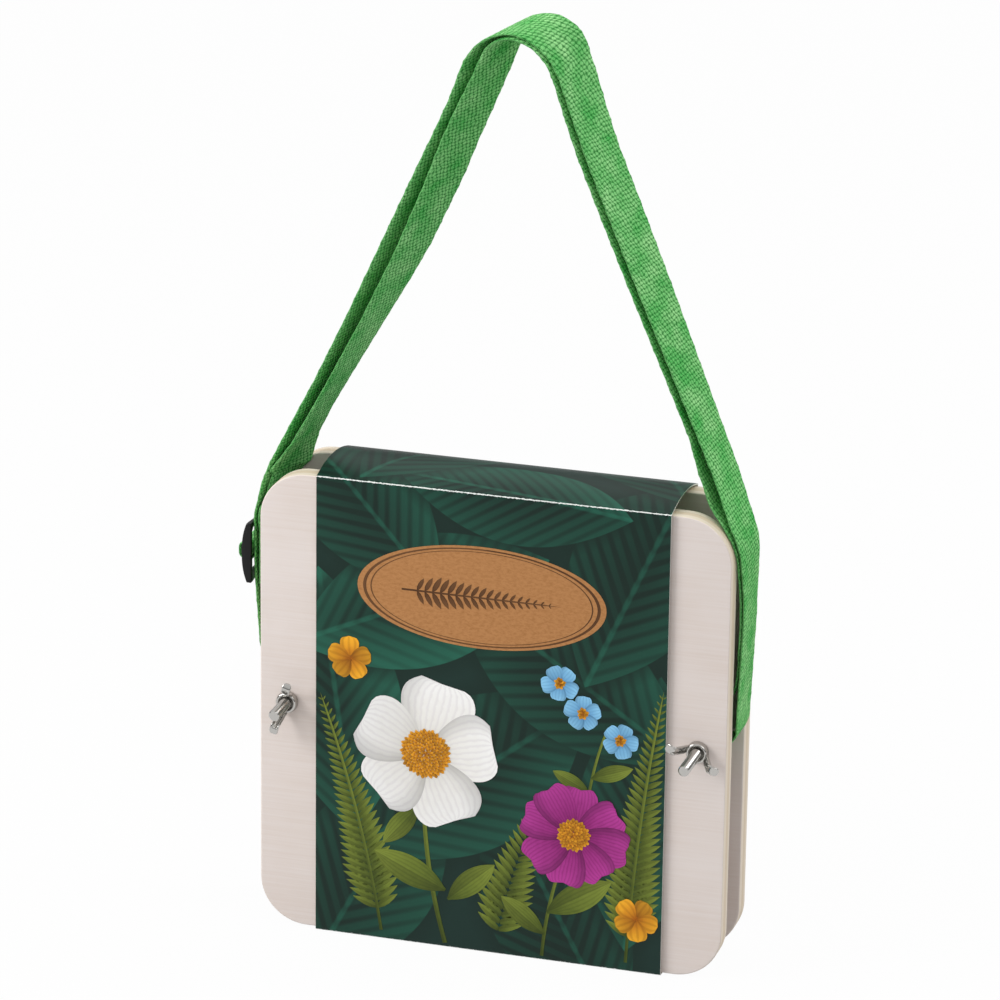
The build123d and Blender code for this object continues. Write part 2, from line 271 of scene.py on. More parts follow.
@dataclass(frozen=True)
class Twill:
    """Lattice of the webbing's slubs: slanted ridges side by side, each broken into slubs."""

    ridge_pitch: float = mm(1.8)
    ridge_lean: float = 23.5
    slub_length: float = mm(1.75)
    slub_lean: float = 7.3

    def ridge(self) -> tuple[float, float]:
        """Ridges per metre, across and along the webbing."""
        lean = math.radians(self.ridge_lean)
        return (-math.cos(lean) / self.ridge_pitch, math.sin(lean) / self.ridge_pitch)

    def slub(self) -> tuple[float, float]:
        """Slubs per metre, across and along the webbing."""
        lean = math.radians(self.slub_lean)
        return (math.sin(lean) / self.slub_length, math.cos(lean) / self.slub_length)


@dataclass(frozen=True)
class Webbing:
    """Woven cotton webbing: slanted rows of soft slubs, matt and a little fuzzy."""

    twill: Twill = Twill()
    crest: str = "#A8E69C"
    slub: str = "#44B252"
    # Dark green painted into the low places between slubs as painted shade.
    painted_gap_shade: str = "#086820"
    wander: float = mm(3.2)
    unevenness: float = 8.5
    patch: float = mm(9)
    # Real fibre ends are finer than a pixel: drawn a little over one so that they show.
    fuzz: float = mm(0.5)
    slub_height: float = mm(0.22)

    def material(self) -> Material:
        """Material that reads the strap's own cloth attribute: places across and along it, and its side."""
        s = Surface("woven_cotton_webbing", {"Roughness": 0.9, "Specular IOR Level": 0.02,
                                             "Sheen Weight": 0.01, "Sheen Roughness": 0.5})
        cloth = s.add("Attribute", attribute_name="cloth").outputs["Vector"]
        wander = s.add("TexNoise", {"Vector": cloth, "Scale": 1 / self.wander, "Detail": 2.0})
        waves = []
        for per_width, per_length in (self.twill.ridge(), self.twill.slub()):
            lattice = (per_width * math.tau, per_length * math.tau, 0.0)
            turns = s.add("VectorMath", cloth, lattice, operation="DOT_PRODUCT").outputs["Value"]
            stray = s.add("Math", wander, self.unevenness, turns, operation="MULTIPLY_ADD")
            waves.append(s.add("Math", stray, operation="COSINE"))
        ridge = s.add("MapRange", {"Value": waves[0], "From Min": -1.0, "From Max": 0.5, "To Min": 0.25})
        slub = s.add("MapRange", {"Value": waves[1], "From Min": -1.0, "From Max": 0.7, "To Min": 0.28})
        form = s.add("Math", ridge, slub, operation="MULTIPLY")
        patches = s.add("TexNoise", {"Vector": cloth, "Scale": 1 / self.patch, "Detail": 3.0})
        fuzz = s.add("TexNoise", {"Vector": cloth, "Scale": 1 / self.fuzz, "Detail": 3.0, "Roughness": 0.65})
        light = s.add("Math", patches, fuzz, operation="ADD")
        tint = s.add("MapRange", {"Value": light, "From Min": 0.72, "From Max": 1.32})
        lit = s.add("Mix", tint, srgb(self.slub), srgb(self.crest), data_type="RGBA")
        ragged = s.add("Math", fuzz, 0.5, form, operation="MULTIPLY_ADD")
        height = s.add("MapRange", {"Value": ragged, "From Min": 0.25, "From Max": 0.85})
        # Painted shade: the low places of the weave are mixed towards the dark gap green.
        woven = s.add("Mix", height, srgb(self.painted_gap_shade), lit, data_type="RGBA")
        bump = s.add("Bump", {"Height": ragged, "Distance": self.slub_height, "Strength": 0.6})
        s.drive(Base_Color=woven, Normal=bump)
        return s.material


@dataclass(frozen=True)
class MouldedPlastic:
    """Black acetal, injection moulded: satin with a fine spark-eroded grain."""

    colour: str = "#060607"
    # Real moulded grain is finer than a pixel: drawn about a pixel wide so that it shows.
    grain: float = mm(0.35)
    grain_depth: float = mm(0.03)

    def material(self) -> Material:
        """Material for the strap's slider."""
        s = Surface("moulded_black_acetal", {"Base Color": srgb(self.colour), "IOR": 1.48,
                                             "Specular IOR Level": 0.3})
        place = s.add("TexCoord").outputs["Object"]
        grain = s.add("TexNoise", {"Vector": place, "Scale": 1 / self.grain, "Detail": 3.0})
        rough = s.add("MapRange", {"Value": grain, "To Min": 0.28, "To Max": 0.42})
        bump = s.add("Bump", {"Height": grain, "Distance": self.grain_depth, "Strength": 0.35})
        s.drive(Roughness=rough, Normal=bump)
        return s.material


@dataclass(frozen=True)
class FibreSheet:
    """Uncoated pulp board or paper: matt, flecked with fibres."""

    name: str
    base: str
    fleck: str
    fibre: float
    roughness: float = 0.9
    fibre_height: float = mm(0.05)

    def material(self) -> Material:
        """Material with flecks of the fibre's size."""
        s = Surface(self.name, {"Roughness": self.roughness, "Specular IOR Level": 0.2})
        place = s.add("TexCoord").outputs["Object"]
        stretch = (1 / self.fibre, 1 / self.fibre, 2 / self.fibre)
        long_fibre = s.add("Mapping", {"Vector": place, "Scale": stretch})
        flecks = s.add("TexNoise", {"Vector": long_fibre, "Scale": 1.0, "Detail": 4.0, "Roughness": 0.7})
        amount = s.add("MapRange", {"Value": flecks, "From Min": 0.42, "From Max": 0.72})
        colour = s.add("Mix", amount, srgb(self.base), srgb(self.fleck), data_type="RGBA")
        bump = s.add("Bump", {"Height": flecks, "Distance": self.fibre_height, "Strength": 0.4})
        s.drive(Base_Color=colour, Normal=bump)
        return s.material


@dataclass(frozen=True)
class PrintedLeaf:
    """One broad leaf of the sleeve's dark foliage print, in the sleeve's flat sheet, in millimetres."""

    x: float
    s: float
    turn: float
    length: float
    width: float
    tone: float


@dataclass(frozen=True)
class FoliagePrint:
    """Satin-laminated print of overlapping dark leaves, cracked white along its folds."""

    ground: str = "#162F29"
    deep: str = "#10261F"
    light: str = "#246350"
    paper: str = "#E9EBE9"
    vein_count: float = 15.0
    vein_slope: float = 0.55
    crack: float = mm(0.5)
    grit: float = mm(0.9)
    grit_height: float = mm(0.03)
    rear_shift: float = 232.0

    def leaves(self) -> list[PrintedLeaf]:
        """Leaves from the lowest layer to the highest, chosen over front, top and back."""
        front = [
            PrintedLeaf(-52, 30, 62, 120, 62, 0.55), PrintedLeaf(30, 22, 118, 116, 60, 0.40),
            PrintedLeaf(66, 70, 84, 124, 56, 0.75), PrintedLeaf(-8, 78, 38, 128, 64, 0.60),
            PrintedLeaf(-66, 104, 98, 118, 58, 0.85), PrintedLeaf(34, 128, 146, 122, 58, 0.65),
            PrintedLeaf(-30, 152, 24, 120, 56, 0.95), PrintedLeaf(64, 176, 66, 116, 60, 0.50),
            PrintedLeaf(-58, 196, 132, 110, 54, 0.60), PrintedLeaf(8, 204, 172, 104, 46, 0.75),
        ]
        rear = [PrintedLeaf(-leaf.x, leaf.s + self.rear_shift, 180 - leaf.turn, leaf.length, leaf.width,
                            leaf.tone) for leaf in front]
        return front + rear

    def draw_leaf(self, s: Surface, sheet: Any, below: Any, leaf: PrintedLeaf) -> bpy.types.Node:
        """Lay one leaf over the colour below it.

        Args:
            s: the surface that the nodes join.
            sheet: place in the flat sheet, in metres.
            below: colour so far.
            leaf: the leaf's place and tone.

        Returns:
            The colour with the leaf on top.
        """
        place = (mm(leaf.x), mm(leaf.s), 0.0)
        half = (mm(leaf.length) / 2, mm(leaf.width) / 2, 1.0)
        turn = (0.0, 0.0, math.radians(leaf.turn))
        own = s.add("Mapping", {"Vector": sheet, "Location": place, "Rotation": turn, "Scale": half},
                    vector_type="TEXTURE")
        axes = s.add("SeparateXYZ", {"Vector": own})
        along, across = axes.outputs["X"], axes.outputs["Y"]
        off_rib = s.add("Math", across, operation="ABSOLUTE")
        squared = s.add("Math", along, along, operation="MULTIPLY")
        outline = s.add("Math", 1.0, squared, operation="SUBTRACT")
        margin = s.add("Math", outline, off_rib, operation="SUBTRACT")
        cover = s.add("MapRange", {"Value": margin, "From Max": 0.015})
        shadow = s.add("MapRange", {"Value": margin, "From Min": -0.28, "From Max": 0.0, "To Max": 0.72})
        swept = s.add("Math", off_rib, -self.vein_slope, along, operation="MULTIPLY_ADD")
        phase = s.add("Math", swept, self.vein_count * math.pi, operation="MULTIPLY")
        wave = s.add("Math", phase, operation="SINE")
        veins = s.add("MapRange", {"Value": wave, "From Min": -0.4, "From Max": 1.0, "To Max": 0.22})
        rib = s.add("MapRange", {"Value": off_rib, "From Min": 0.05, "From Max": 0.02, "To Max": 0.4})
        swell = s.add("MapRange", {"Value": margin, "From Max": 0.9, "To Min": 0.95, "To Max": 0.25})
        turned_away = s.add("MapRange", {"Value": across, "From Min": -0.04, "From Max": 0.04, "To Min": 1.0,
                                         "To Max": 0.6})
        toned = s.add("Math", swell, leaf.tone, operation="MULTIPLY")
        lit = s.add("Math", toned, turned_away, operation="MULTIPLY")
        veined = s.add("Math", lit, s.add("Math", veins, rib, operation="SUBTRACT"), operation="SUBTRACT")
        tone = s.add("MapRange", {"Value": veined})
        colour = s.add("Mix", tone, srgb(self.deep), srgb(self.light), data_type="RGBA")
        shaded = s.add("Mix", shadow, below, srgb(self.deep), data_type="RGBA")
        return s.add("Mix", cover, shaded, colour, data_type="RGBA")

    def material(self, folds: Sequence[float]) -> Material:
        """Material of the sleeve's outer face.

        Args:
            folds: where the folds lie along the sheet, in metres.

        Returns:
            The printed, creased card.
        """
        s = Surface("satin_laminated_foliage_print", {"Roughness": 0.4, "Specular IOR Level": 0.2})
        sheet = s.add("Attribute", attribute_name="sheet").outputs["Vector"]
        colour: Any = srgb(self.ground)
        for leaf in self.leaves():
            colour = self.draw_leaf(s, sheet, colour, leaf)
        grit = s.add("TexNoise", {"Vector": sheet, "Scale": 1 / self.grit, "Detail": 6.0, "Roughness": 0.75})
        along = s.add("SeparateXYZ", {"Vector": sheet}).outputs["Y"]
        reach = s.add("MapRange", {"Value": grit, "From Min": 0.35, "From Max": 0.7,
                                   "To Max": self.crack})
        for fold in folds:
            off = s.add("Math", along, fold, operation="SUBTRACT")
            distance = s.add("Math", off, operation="ABSOLUTE")
            worn = s.add("Math", distance, reach, operation="LESS_THAN")
            colour = s.add("Mix", worn, colour, srgb(self.paper), data_type="RGBA")
        bump = s.add("Bump", {"Height": grit, "Distance": self.grit_height, "Strength": 0.12})
        s.drive(Base_Color=colour, Normal=bump)
        return s.material


@dataclass(frozen=True)
class Ink:
    """Printed picture of a pressed petal or leaf: veined lengthwise, shaded at its foot and one edge."""

    name: str
    base: str
    tip: str
    vein: str
    vein_count: float = 7.0
    vein_share: float = 0.35
    tuck: float = 0.72
    tuck_from: float = -1.0
    tuck_to: float = -0.3
    hollow: float = 0.8
    spread: float = 0.12
    mottle: float = mm(3.2)

    def material(self) -> Material:
        """Material that reads the blade's own attribute: across, along and a number of its own."""
        s = Surface(self.name, {"Roughness": 0.42, "Specular IOR Level": 0.2})
        marks = s.add("Attribute", attribute_name="blade").outputs["Vector"]
        across, along, own = s.add("SeparateXYZ", {"Vector": marks}).outputs
        place = s.add("TexCoord").outputs["Object"]
        mottle = s.add("TexNoise", {"Vector": place, "Scale": 1 / self.mottle, "Detail": 4.0})
        drift = s.add("Math", mottle, 0.5, along, operation="MULTIPLY_ADD")
        fade = s.add("MapRange", {"Value": drift, "From Min": 0.2, "From Max": 1.15})
        colour = s.add("Mix", fade, srgb(self.base), srgb(self.tip), data_type="RGBA")
        wobble = s.add("Math", mottle, 0.12, across, operation="MULTIPLY_ADD")
        phase = s.add("Math", wobble, self.vein_count * math.pi, operation="MULTIPLY")
        stripe = s.add("Math", phase, operation="COSINE")
        veins = s.add("MapRange", {"Value": stripe, "From Min": -0.2, "From Max": 1.0,
                                   "To Max": self.vein_share})
        veined = s.add("Mix", veins, colour, srgb(self.vein), data_type="RGBA")
        tucked = s.add("MapRange", {"Value": across, "From Min": self.tuck_from, "From Max": self.tuck_to,
                                    "To Min": self.tuck}, interpolation_type="SMOOTHSTEP")
        sunk = s.add("MapRange", {"Value": along, "From Max": 0.5, "To Min": self.hollow},
                     interpolation_type="SMOOTHSTEP")
        varied = s.add("MapRange", {"Value": own, "To Min": 1 - self.spread, "To Max": 1 + self.spread / 3})
        folded = s.add("Math", tucked, sunk, operation="MULTIPLY")
        shade = s.add("Math", folded, varied, operation="MULTIPLY")
        shaded = s.add("VectorMath", veined, s.add("CombineXYZ", shade, shade, shade),
                       operation="MULTIPLY")
        s.drive(Base_Color=shaded)
        return s.material


def deselect() -> None:
    """Leave edit mode and select nothing."""
    if bpy.context.object and bpy.context.object.mode != "OBJECT":
        bpy.ops.object.mode_set(mode="OBJECT")
    bpy.ops.object.select_all(action="DESELECT")


def take_up(piece: Piece) -> None:
    """Make a piece the only one selected, and the active one."""
    deselect()
    piece.select_set(True)
    bpy.context.view_layer.objects.active = piece


def grid(name: str, columns: int, rows: int) -> Piece:
    """Add a unit sheet of faces to shape.

    Args:
        name: name of the piece.
        columns: faces across.
        rows: faces along.

    Returns:
        The new object.
    """
    deselect()
    bpy.ops.mesh.primitive_grid_add(x_subdivisions=columns, y_subdivisions=rows, size=1.0)
    piece = bpy.context.object
    piece.name = name
    piece.data.name = name
    return piece


def read_points(piece: Piece) -> Array:
    """Places of a piece's vertices, one row each."""
    flat = np.empty(len(piece.data.vertices) * 3)
    piece.data.vertices.foreach_get("co", flat)
    return flat.reshape(-1, 3)


def write_points(piece: Piece, points: Array) -> None:
    """Move a piece's vertices to these places."""
    piece.data.vertices.foreach_set("co", points.astype(np.float32).ravel())
    piece.data.update()


def shape(piece: Piece, place: Callable[[Array, Array], Array]) -> None:
    """Shape a unit sheet by where each share across and along it goes.

    Args:
        piece: a sheet made by grid.
        place: gives places for shares across and along, both from 0 to 1.
    """
    flat = read_points(piece)
    write_points(piece, place(flat[:, 0] + 0.5, flat[:, 1] + 0.5))


def mark(piece: Piece, name: str, values: Array) -> None:
    """Keep three numbers for each vertex, for the material to read."""
    layer = piece.data.attributes.new(name, "FLOAT_VECTOR", "POINT")
    layer.data.foreach_set("vector", values.astype(np.float32).ravel())


def modify(piece: Piece, kind: str, **settings: Any) -> None:
    """Add a modifier with its settings and apply it."""
    modifier = piece.modifiers.new(kind.title(), kind)
    for key, value in settings.items():
        setattr(modifier, key, value)
    take_up(piece)
    bpy.ops.object.modifier_apply(modifier=modifier.name)


def edit(piece: Piece, *steps: Callable[[], Any]) -> None:
    """Run mesh operators one after another, each on all of a piece."""
    take_up(piece)
    bpy.ops.object.mode_set(mode="EDIT")
    for step in steps:
        bpy.ops.mesh.select_all(action="SELECT")
        step()
    bpy.ops.object.mode_set(mode="OBJECT")


def close_up(piece: Piece) -> None:
    """Merge meeting vertices, fill open ends and point the faces outwards."""
    edit(piece, partial(bpy.ops.mesh.remove_doubles, threshold=MEETING),
         partial(bpy.ops.mesh.fill_holes, sides=0),
         partial(bpy.ops.mesh.normals_make_consistent, inside=False))


def smooth(piece: Piece, degrees: float = 40) -> None:
    """Shade a piece smooth, apart from edges sharper than an angle."""
    take_up(piece)
    bpy.ops.object.shade_smooth_by_angle(angle=math.radians(degrees))


def copy_piece(piece: Piece, name: str, move: Matrix) -> Piece:
    """Copy a piece, with a mesh of its own, to another place.

    Args:
        piece: the piece modelled once.
        name: name of the copy.
        move: from the piece's place to the copy's.

    Returns:
        The copy.
    """
    twin = bpy.data.objects.new(name, piece.data.copy())
    bpy.context.scene.collection.objects.link(twin)
    twin.data.transform(move)
    return twin


def join(pieces: Sequence[Piece], name: str) -> Piece:
    """Join pieces into one object.

    Args:
        pieces: the pieces, of which the first keeps its materials.
        name: name of the result.

    Returns:
        The joined object.
    """
    take_up(pieces[0])
    for piece in pieces:
        piece.select_set(True)
    bpy.ops.object.join()
    joined = bpy.context.object
    joined.name = name
    joined.data.name = name
    return joined


def dress(piece: Piece, *materials: Material) -> None:
    """Give a piece its materials, in the order of its slots."""
    piece.data.materials.clear()
    for material in materials:
        piece.data.materials.append(material)


def hand_over(piece: Piece, body: Body, slot: Slot, *nodes: str) -> None:
    """Let a piece ride on its body, and hide the frame's nodes that it replaces.

    Args:
        piece: the finished piece.
        body: the body that it moves with.
        slot: not used.
        nodes: the frame's nodes that it replaces.
    """
    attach(piece, body.value)
    if nodes:
        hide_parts(*nodes)
    LOG.info("%s rides on %s", piece.name, body.value)


def lathe(name: str, profile: Sequence[tuple[float, float]], segments: int) -> Piece:
    """Turn a profile about the Y axis.

    Args:
        name: name of the piece.
        profile: radius and place along Y of each ring, in metres, from one end to the other.
        segments: faces round the axis.

    Returns:
        The closed piece.
    """
    rings = np.array(profile)

    def place(around: Array, along: Array) -> Array:
        """Place on the turned ring for shares around and along."""
        ring = rings[np.rint(along * (len(rings) - 1)).astype(int)]
        angle = around * math.tau
        return np.column_stack([ring[:, 0] * np.cos(angle), ring[:, 1], ring[:, 0] * np.sin(angle)])

    piece = grid(name, segments, len(rings) - 1)
    shape(piece, place)
    close_up(piece)
    return piece


def on_line(at: Array, lengths: Array, line: Array) -> Array:
    """Places in a plane, one row each, at lengths along a line whose own rows lie at other lengths."""
    return np.column_stack([np.interp(at, lengths, line[:, k]) for k in (0, 1)])


def rounded_route(corners: Array, radii: Sequence[float], spacing: float) -> tuple[Array, Array]:
    """Run along straight lines with rounded corners.

    Args:
        corners: corners in a plane, one row each, ends included.
        radii: radius at each corner between the ends.
        spacing: distance between the places that come back.

    Returns:
        Evenly spaced places, and the lengths along the route at which they lie.
    """
    dense = [corners[0]]
    for before, corner, after, radius in zip(corners, corners[1:], corners[2:], radii):
        arriving = (corner - before) / np.linalg.norm(corner - before)
        leaving = (after - corner) / np.linalg.norm(after - corner)
        turn = math.atan2(arriving[0] * leaving[1] - arriving[1] * leaving[0], float(arriving @ leaving))
        start = corner - arriving * radius * math.tan(abs(turn) / 2)
        side = np.array([-arriving[1], arriving[0]]) * math.copysign(1, turn)
        centre = start + side * radius
        steps = max(2, math.ceil(abs(math.degrees(turn))))
        for angle in np.linspace(0, turn, steps):
            c, s = math.cos(angle), math.sin(angle)
            spoke = start - centre
            dense.append(centre + np.array([c * spoke[0] - s * spoke[1], s * spoke[0] + c * spoke[1]]))
    dense.append(corners[-1])
    points = np.array(dense)
    run = np.concatenate([[0.0], np.cumsum(np.linalg.norm(np.diff(points, axis=0), axis=1))])
    lengths = np.linspace(0, run[-1], int(run[-1] / spacing) + 1)
    return on_line(lengths, run, points), lengths


@dataclass
class Weave:
    """Flat webbing: slubs stand out from both faces and ruffle the edges."""

    # Modelled at twice the pitch of the material's lattice: finer slubs would need too many faces.
    twill: Twill = Twill(mm(3.6), 23.5, mm(3.5), 7.3)
    width: float = mm(22)
    thickness: float = mm(1.5)
    stations: int = 26
    relief: float = mm(0.14)
    body_share: float = 0.65
    edge_share: float = 0.5
    scallop: float = mm(0.4)
    row: float = mm(0.75)
    fatness: tuple[float, float] = (0.7, 1.25)
    ridge_swing: float = 1.6
    slub_swing: float = 1.7
    slub_dip: float = 0.35
    seed: int = 11

    @property
    def columns(self) -> int:
        """Faces round the section."""
        return 2 * self.stations + 2

    def build(self, name: str, line: Array, lengths: Array,
              lie: Callable[[Array, Array, Array, Array], tuple[Array, Array, Array]]) -> Piece:
        """Weave webbing along a line, slub by slub.

        Args:
            name: name of the piece.
            line: places of the webbing's middle, in X and Z.
            lengths: length along the line at each place.
            lie: gives middles, directions across and widths for lengths, places and tangents.

        Returns:
            The closed webbing, with its cloth attribute.
        """
        tangents = np.gradient(line, lengths, axis=0)
        tangents /= np.linalg.norm(tangents, axis=1)[:, None]
        rows = int(lengths[-1] / self.row)
        draw = np.random.default_rng(self.seed)
        fatness = draw.uniform(*self.fatness, (rows + 1, self.stations + 1))
        cloth: dict[str, Array] = {}

        def place(around: Array, along: Array) -> Array:
            """Place on the woven surface for shares around the section and along the webbing."""
            step = np.rint(around * self.columns).astype(int) % self.columns
            top = step <= self.stations
            thread = np.where(top, step, self.columns - 1 - step)
            row = np.rint(along * rows).astype(int)
            side = np.where(top, 1.0, -1.0)
            share = thread / self.stations - 0.5
            on_edge = (thread == 0) | (thread == self.stations)
            at = along * lengths[-1]
            breadth = share * self.width * side
            waves = [np.cos(math.tau * (breadth * per_width + at * per_length))
                     for per_width, per_length in (self.twill.ridge(), self.twill.slub())]
            ridge = np.clip((waves[0] + 1) / self.ridge_swing, 0, 1)
            swell = np.clip((waves[1] + 1) / self.slub_swing, 0, 1)
            form = ridge * (self.slub_dip + (1 - self.slub_dip) * swell)
            slub = form * fatness[row, thread] - 0.5
            body = self.thickness / 2 * self.body_share * np.where(on_edge, self.edge_share, 1.0)
            height = side * (body + slub * self.relief * ~on_edge)
            x, z = on_line(at, lengths, line).T
            tangent = on_line(at, lengths, tangents)
            middle, across, width = lie(at, x, z, tangent)
            ahead = np.column_stack([tangent[:, 0], np.zeros_like(x), tangent[:, 1]])
            normal = np.cross(ahead, across)
            normal /= np.linalg.norm(normal, axis=1)[:, None]
            reach = share * width + np.sign(share) * slub * self.scallop * on_edge
            cloth["values"] = np.column_stack([breadth, at, side * self.width])
            return middle + reach[:, None] * across + height[:, None] * normal

        piece = grid(name, self.columns, rows)
        shape(piece, place)
        mark(piece, "cloth", cloth["values"])
        close_up(piece)
        smooth(piece, 180)
        return piece


@dataclass
class Boards:
    """The two plywood boards, which keep the frame's shapes."""

    finish: Plywood = Plywood()

    def dress(self) -> None:
        """Give both boards their plywood."""
        material = self.finish.material()
        for node in ("front_board", "back_board"):
            dress(frame["nodes"][node], material)
            LOG.info("%s dressed", node)


@dataclass
class Stack:
    """Divider cards with real flutes, and blotting sheets between them."""

    card_count: int = 6
    sheet_count: int = 10
    liner: float = mm(0.28)
    flute_sheet: float = mm(0.2)
    flute_pitch: float = mm(3.2)
    steps_per_flute: int = 8

    def build_card(self, node: str) -> Piece:
        """Model one corrugated card where the frame has a plain one.

        Args:
            node: the frame's card.

        Returns:
            The card: two liners and a fluted sheet between them.
        """
        low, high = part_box(node)
        width, depth, height = high - low
        flutes = round(height / self.flute_pitch)
        swing = depth / 2 - self.liner - self.flute_sheet / 2
        layers = []
        for level, rows in ((-1, 1), (0, flutes * self.steps_per_flute), (1, 1)):
            def place(across: Array, along: Array, level: int = level) -> Array:
                """Place on one layer for shares across and along the card."""
                wave = swing * np.sin(along * flutes * math.tau) * (level == 0)
                offset = level * (depth - self.liner) / 2
                return np.column_stack([low.x + across * width, (low.y + high.y) / 2 + offset + wave,
                                        low.z + along * height])
            layer = grid(f"{node}_layer", 1, rows)
            shape(layer, place)
            modify(layer, "SOLIDIFY", thickness=self.flute_sheet if level == 0 else self.liner, offset=0.0)
            layers.append(layer)
        return join(layers, f"{node}_corrugated")

    def build(self) -> None:
        """Model and dress the whole stack."""
        kraft = FibreSheet("corrugated_kraft_board", "#B08A60", "#94704A", mm(1.6)).material()
        paper = FibreSheet("blotting_paper", "#EFEDE4", "#DDD9CB", mm(0.9)).material()
        for number in range(1, self.card_count + 1):
            node = f"divider_card_{number}"
            card = self.build_card(node)
            dress(card, kraft)
            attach(card, frame["nodes"][node]["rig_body"])
            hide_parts(node)
            LOG.info("%s built", card.name)
        for number in range(1, self.sheet_count + 1):
            dress(frame["nodes"][f"blotting_sheet_{number}"], paper)


def nut_axis(side: str) -> Vector:
    """Where the axis of one side's bolt and nut meets the front board's face."""
    return Vector(next(j["pos_m"] for j in frame["joints"] if j["name"] == f"{side}_nut_turn"))


@dataclass
class Fastener:
    """A coach bolt and its stamped wing nut, on one axis."""

    side: str
    nut_body: Body
    wing_angle: float
    finish: Material
    shank_radius: float = mm(2.4)
    thread_depth: float = mm(0.22)
    thread_pitch: float = mm(0.8)
    thread_rings: int = 8
    segments: int = 40
    end_chamfer: float = mm(0.5)
    neck: float = mm(5.0)
    neck_length: float = mm(4.0)
    neck_bevel: float = mm(0.3)
    rim_share: float = 0.3
    rim: Marks = ((0.98, 0.0), (1.0, 0.4), (1.0, 1.0))
    bore_clearance: float = mm(0.05)
    flange_round: float = mm(0.3)
    throat: float = 0.55
    bore_rise: float = 0.45
    flange_radius: float = mm(4.7)
    flange_height: float = mm(1.1)
    collar_radius: float = mm(4.4)
    collar_height: float = mm(3.1)
    lip: float = mm(0.7)
    sheet: float = mm(0.85)
    wing_half: float = mm(1.45)
    wing_flange: float = mm(1.2)
    tip_half: float = mm(1.9)
    # A wing's middle line, in millimetres out from the axis and up from the seat; shares of it follow.
    spine: Marks = ((3.4, 1.2), (4.6, 2.2), (5.8, 4.4), (7.1, 7.1), (8.2, 9.2), (9.0, 10.1), (10.0, 10.0),
                    (11.9, 9.0))
    spine_step: float = 0.05
    pad_from: float = 0.6
    pad_run: float = 0.16
    tip_from: float = 0.9
    tip_run: float = 0.112
    tip_least: float = 0.02
    flange_from: float = 0.6
    root_run: float = 0.25
    web_share: float = 0.68

    def build_bolt(self) -> Piece:
        """Model the bolt: threaded shank, square neck and domed head."""
        low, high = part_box(f"{self.side}_bolt")
        centre = nut_axis(self.side)
        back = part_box("back_board")[1].y
        threaded = np.arange(low.y + self.end_chamfer, 0.0, self.thread_pitch / self.thread_rings)
        core = self.shank_radius - self.end_chamfer
        profile = [(0.0, low.y), (core, low.y)] + [(self.shank_radius, y) for y in threaded]
        profile += [(self.shank_radius, back - self.neck_length), (self.shank_radius, back)]
        shank = lathe(f"{self.side}_shank", profile, self.segments)
        points = read_points(shank)
        radius = np.hypot(points[:, 0], points[:, 2])
        turns = np.arctan2(points[:, 2], points[:, 0]) / math.tau
        ridge = np.abs(((points[:, 1] / self.thread_pitch + turns) % 1.0) * 2 - 1)
        cut = (radius > core) & (points[:, 1] < 0.0)
        scale = np.where(cut, 1 - self.thread_depth * ridge / self.shank_radius, 1.0)
        write_points(shank, points * np.column_stack([scale, np.ones_like(scale), scale]))
        head_radius = (high.x - low.x) / 2
        rise = high.y - back
        rim = rise * self.rim_share
        bow = np.linspace(0, math.pi / 2, 10)
        dome = [(0.0, back)] + [(head_radius * out, back + rim * up) for out, up in self.rim]
        dome += [(head_radius * math.cos(a), back + rim + (rise - rim) * math.sin(a)) for a in bow[1:]]
        head = lathe(f"{self.side}_head", dome, self.segments)
        deselect()
        bpy.ops.mesh.primitive_cube_add(size=1.0)
        neck = bpy.context.object
        write_points(neck, read_points(neck) * np.array([self.neck, self.neck_length, self.neck])
                     + np.array([0.0, back - self.neck_length / 2, 0.0]))
        modify(neck, "BEVEL", width=self.neck_bevel, segments=2)
        bolt = join([shank, head, neck], f"{self.side}_bolt_threaded")
        bolt.data.transform(Matrix.Translation((centre.x, 0.0, centre.z)))
        smooth(bolt, 45)
        return bolt

    def build_wing(self, turn: float) -> Piece:
        """Model one wing: a channel of sheet that rises from the collar to a flat rounded tip.

        Args:
            turn: direction of the wing, in degrees from +X towards +Z.

        Returns:
            The wing, with its nut's seat at the origin.
        """
        spine = np.array(self.spine) * mm(1)
        shares = np.linspace(0, 1, len(spine))
        outward = np.array([math.cos(math.radians(turn)), 0.0, math.sin(math.radians(turn))])
        sideways = np.array([-outward[2], 0.0, outward[0]])
        forward = np.array([0.0, -1.0, 0.0])

        def place(across: Array, along: Array) -> Array:
            """Place on the wing's sheet for shares across and along it."""
            reach, rise = on_line(along, shares, spine).T
            ahead, behind = (np.clip(along + step, 0, 1) for step in (self.spine_step, -self.spine_step))
            run, climb = (on_line(ahead, shares, spine) - on_line(behind, shares, spine)).T
            length = np.hypot(run, climb)
            side = across * 2 - 1
            pad = ease((along - self.pad_from) / self.pad_run)
            past_tip = np.maximum(along - self.tip_from, 0) / self.tip_run
            tip = np.sqrt(np.clip(1 - past_tip ** 2, self.tip_least, 1))
            half = (self.wing_half + (self.tip_half - self.wing_half) * pad) * tip
            bent = np.clip((np.abs(side) - self.flange_from) / (1 - self.flange_from), 0, 1)
            bent *= (1 - pad) * ease(along / self.root_run)
            flat = np.clip(np.abs(side) / np.where(pad < 0.5, self.web_share, 1.0), 0, 1) * np.sign(side)
            reach = reach - climb / length * bent * self.wing_flange
            rise = rise + run / length * bent * self.wing_flange
            return reach[:, None] * outward + rise[:, None] * forward + (flat * half)[:, None] * sideways

        wing = grid("wing", 10, 26)
        shape(wing, place)
        modify(wing, "SOLIDIFY", thickness=self.sheet, offset=0.0)
        modify(wing, "SUBSURF", levels=1, render_levels=1)
        return wing

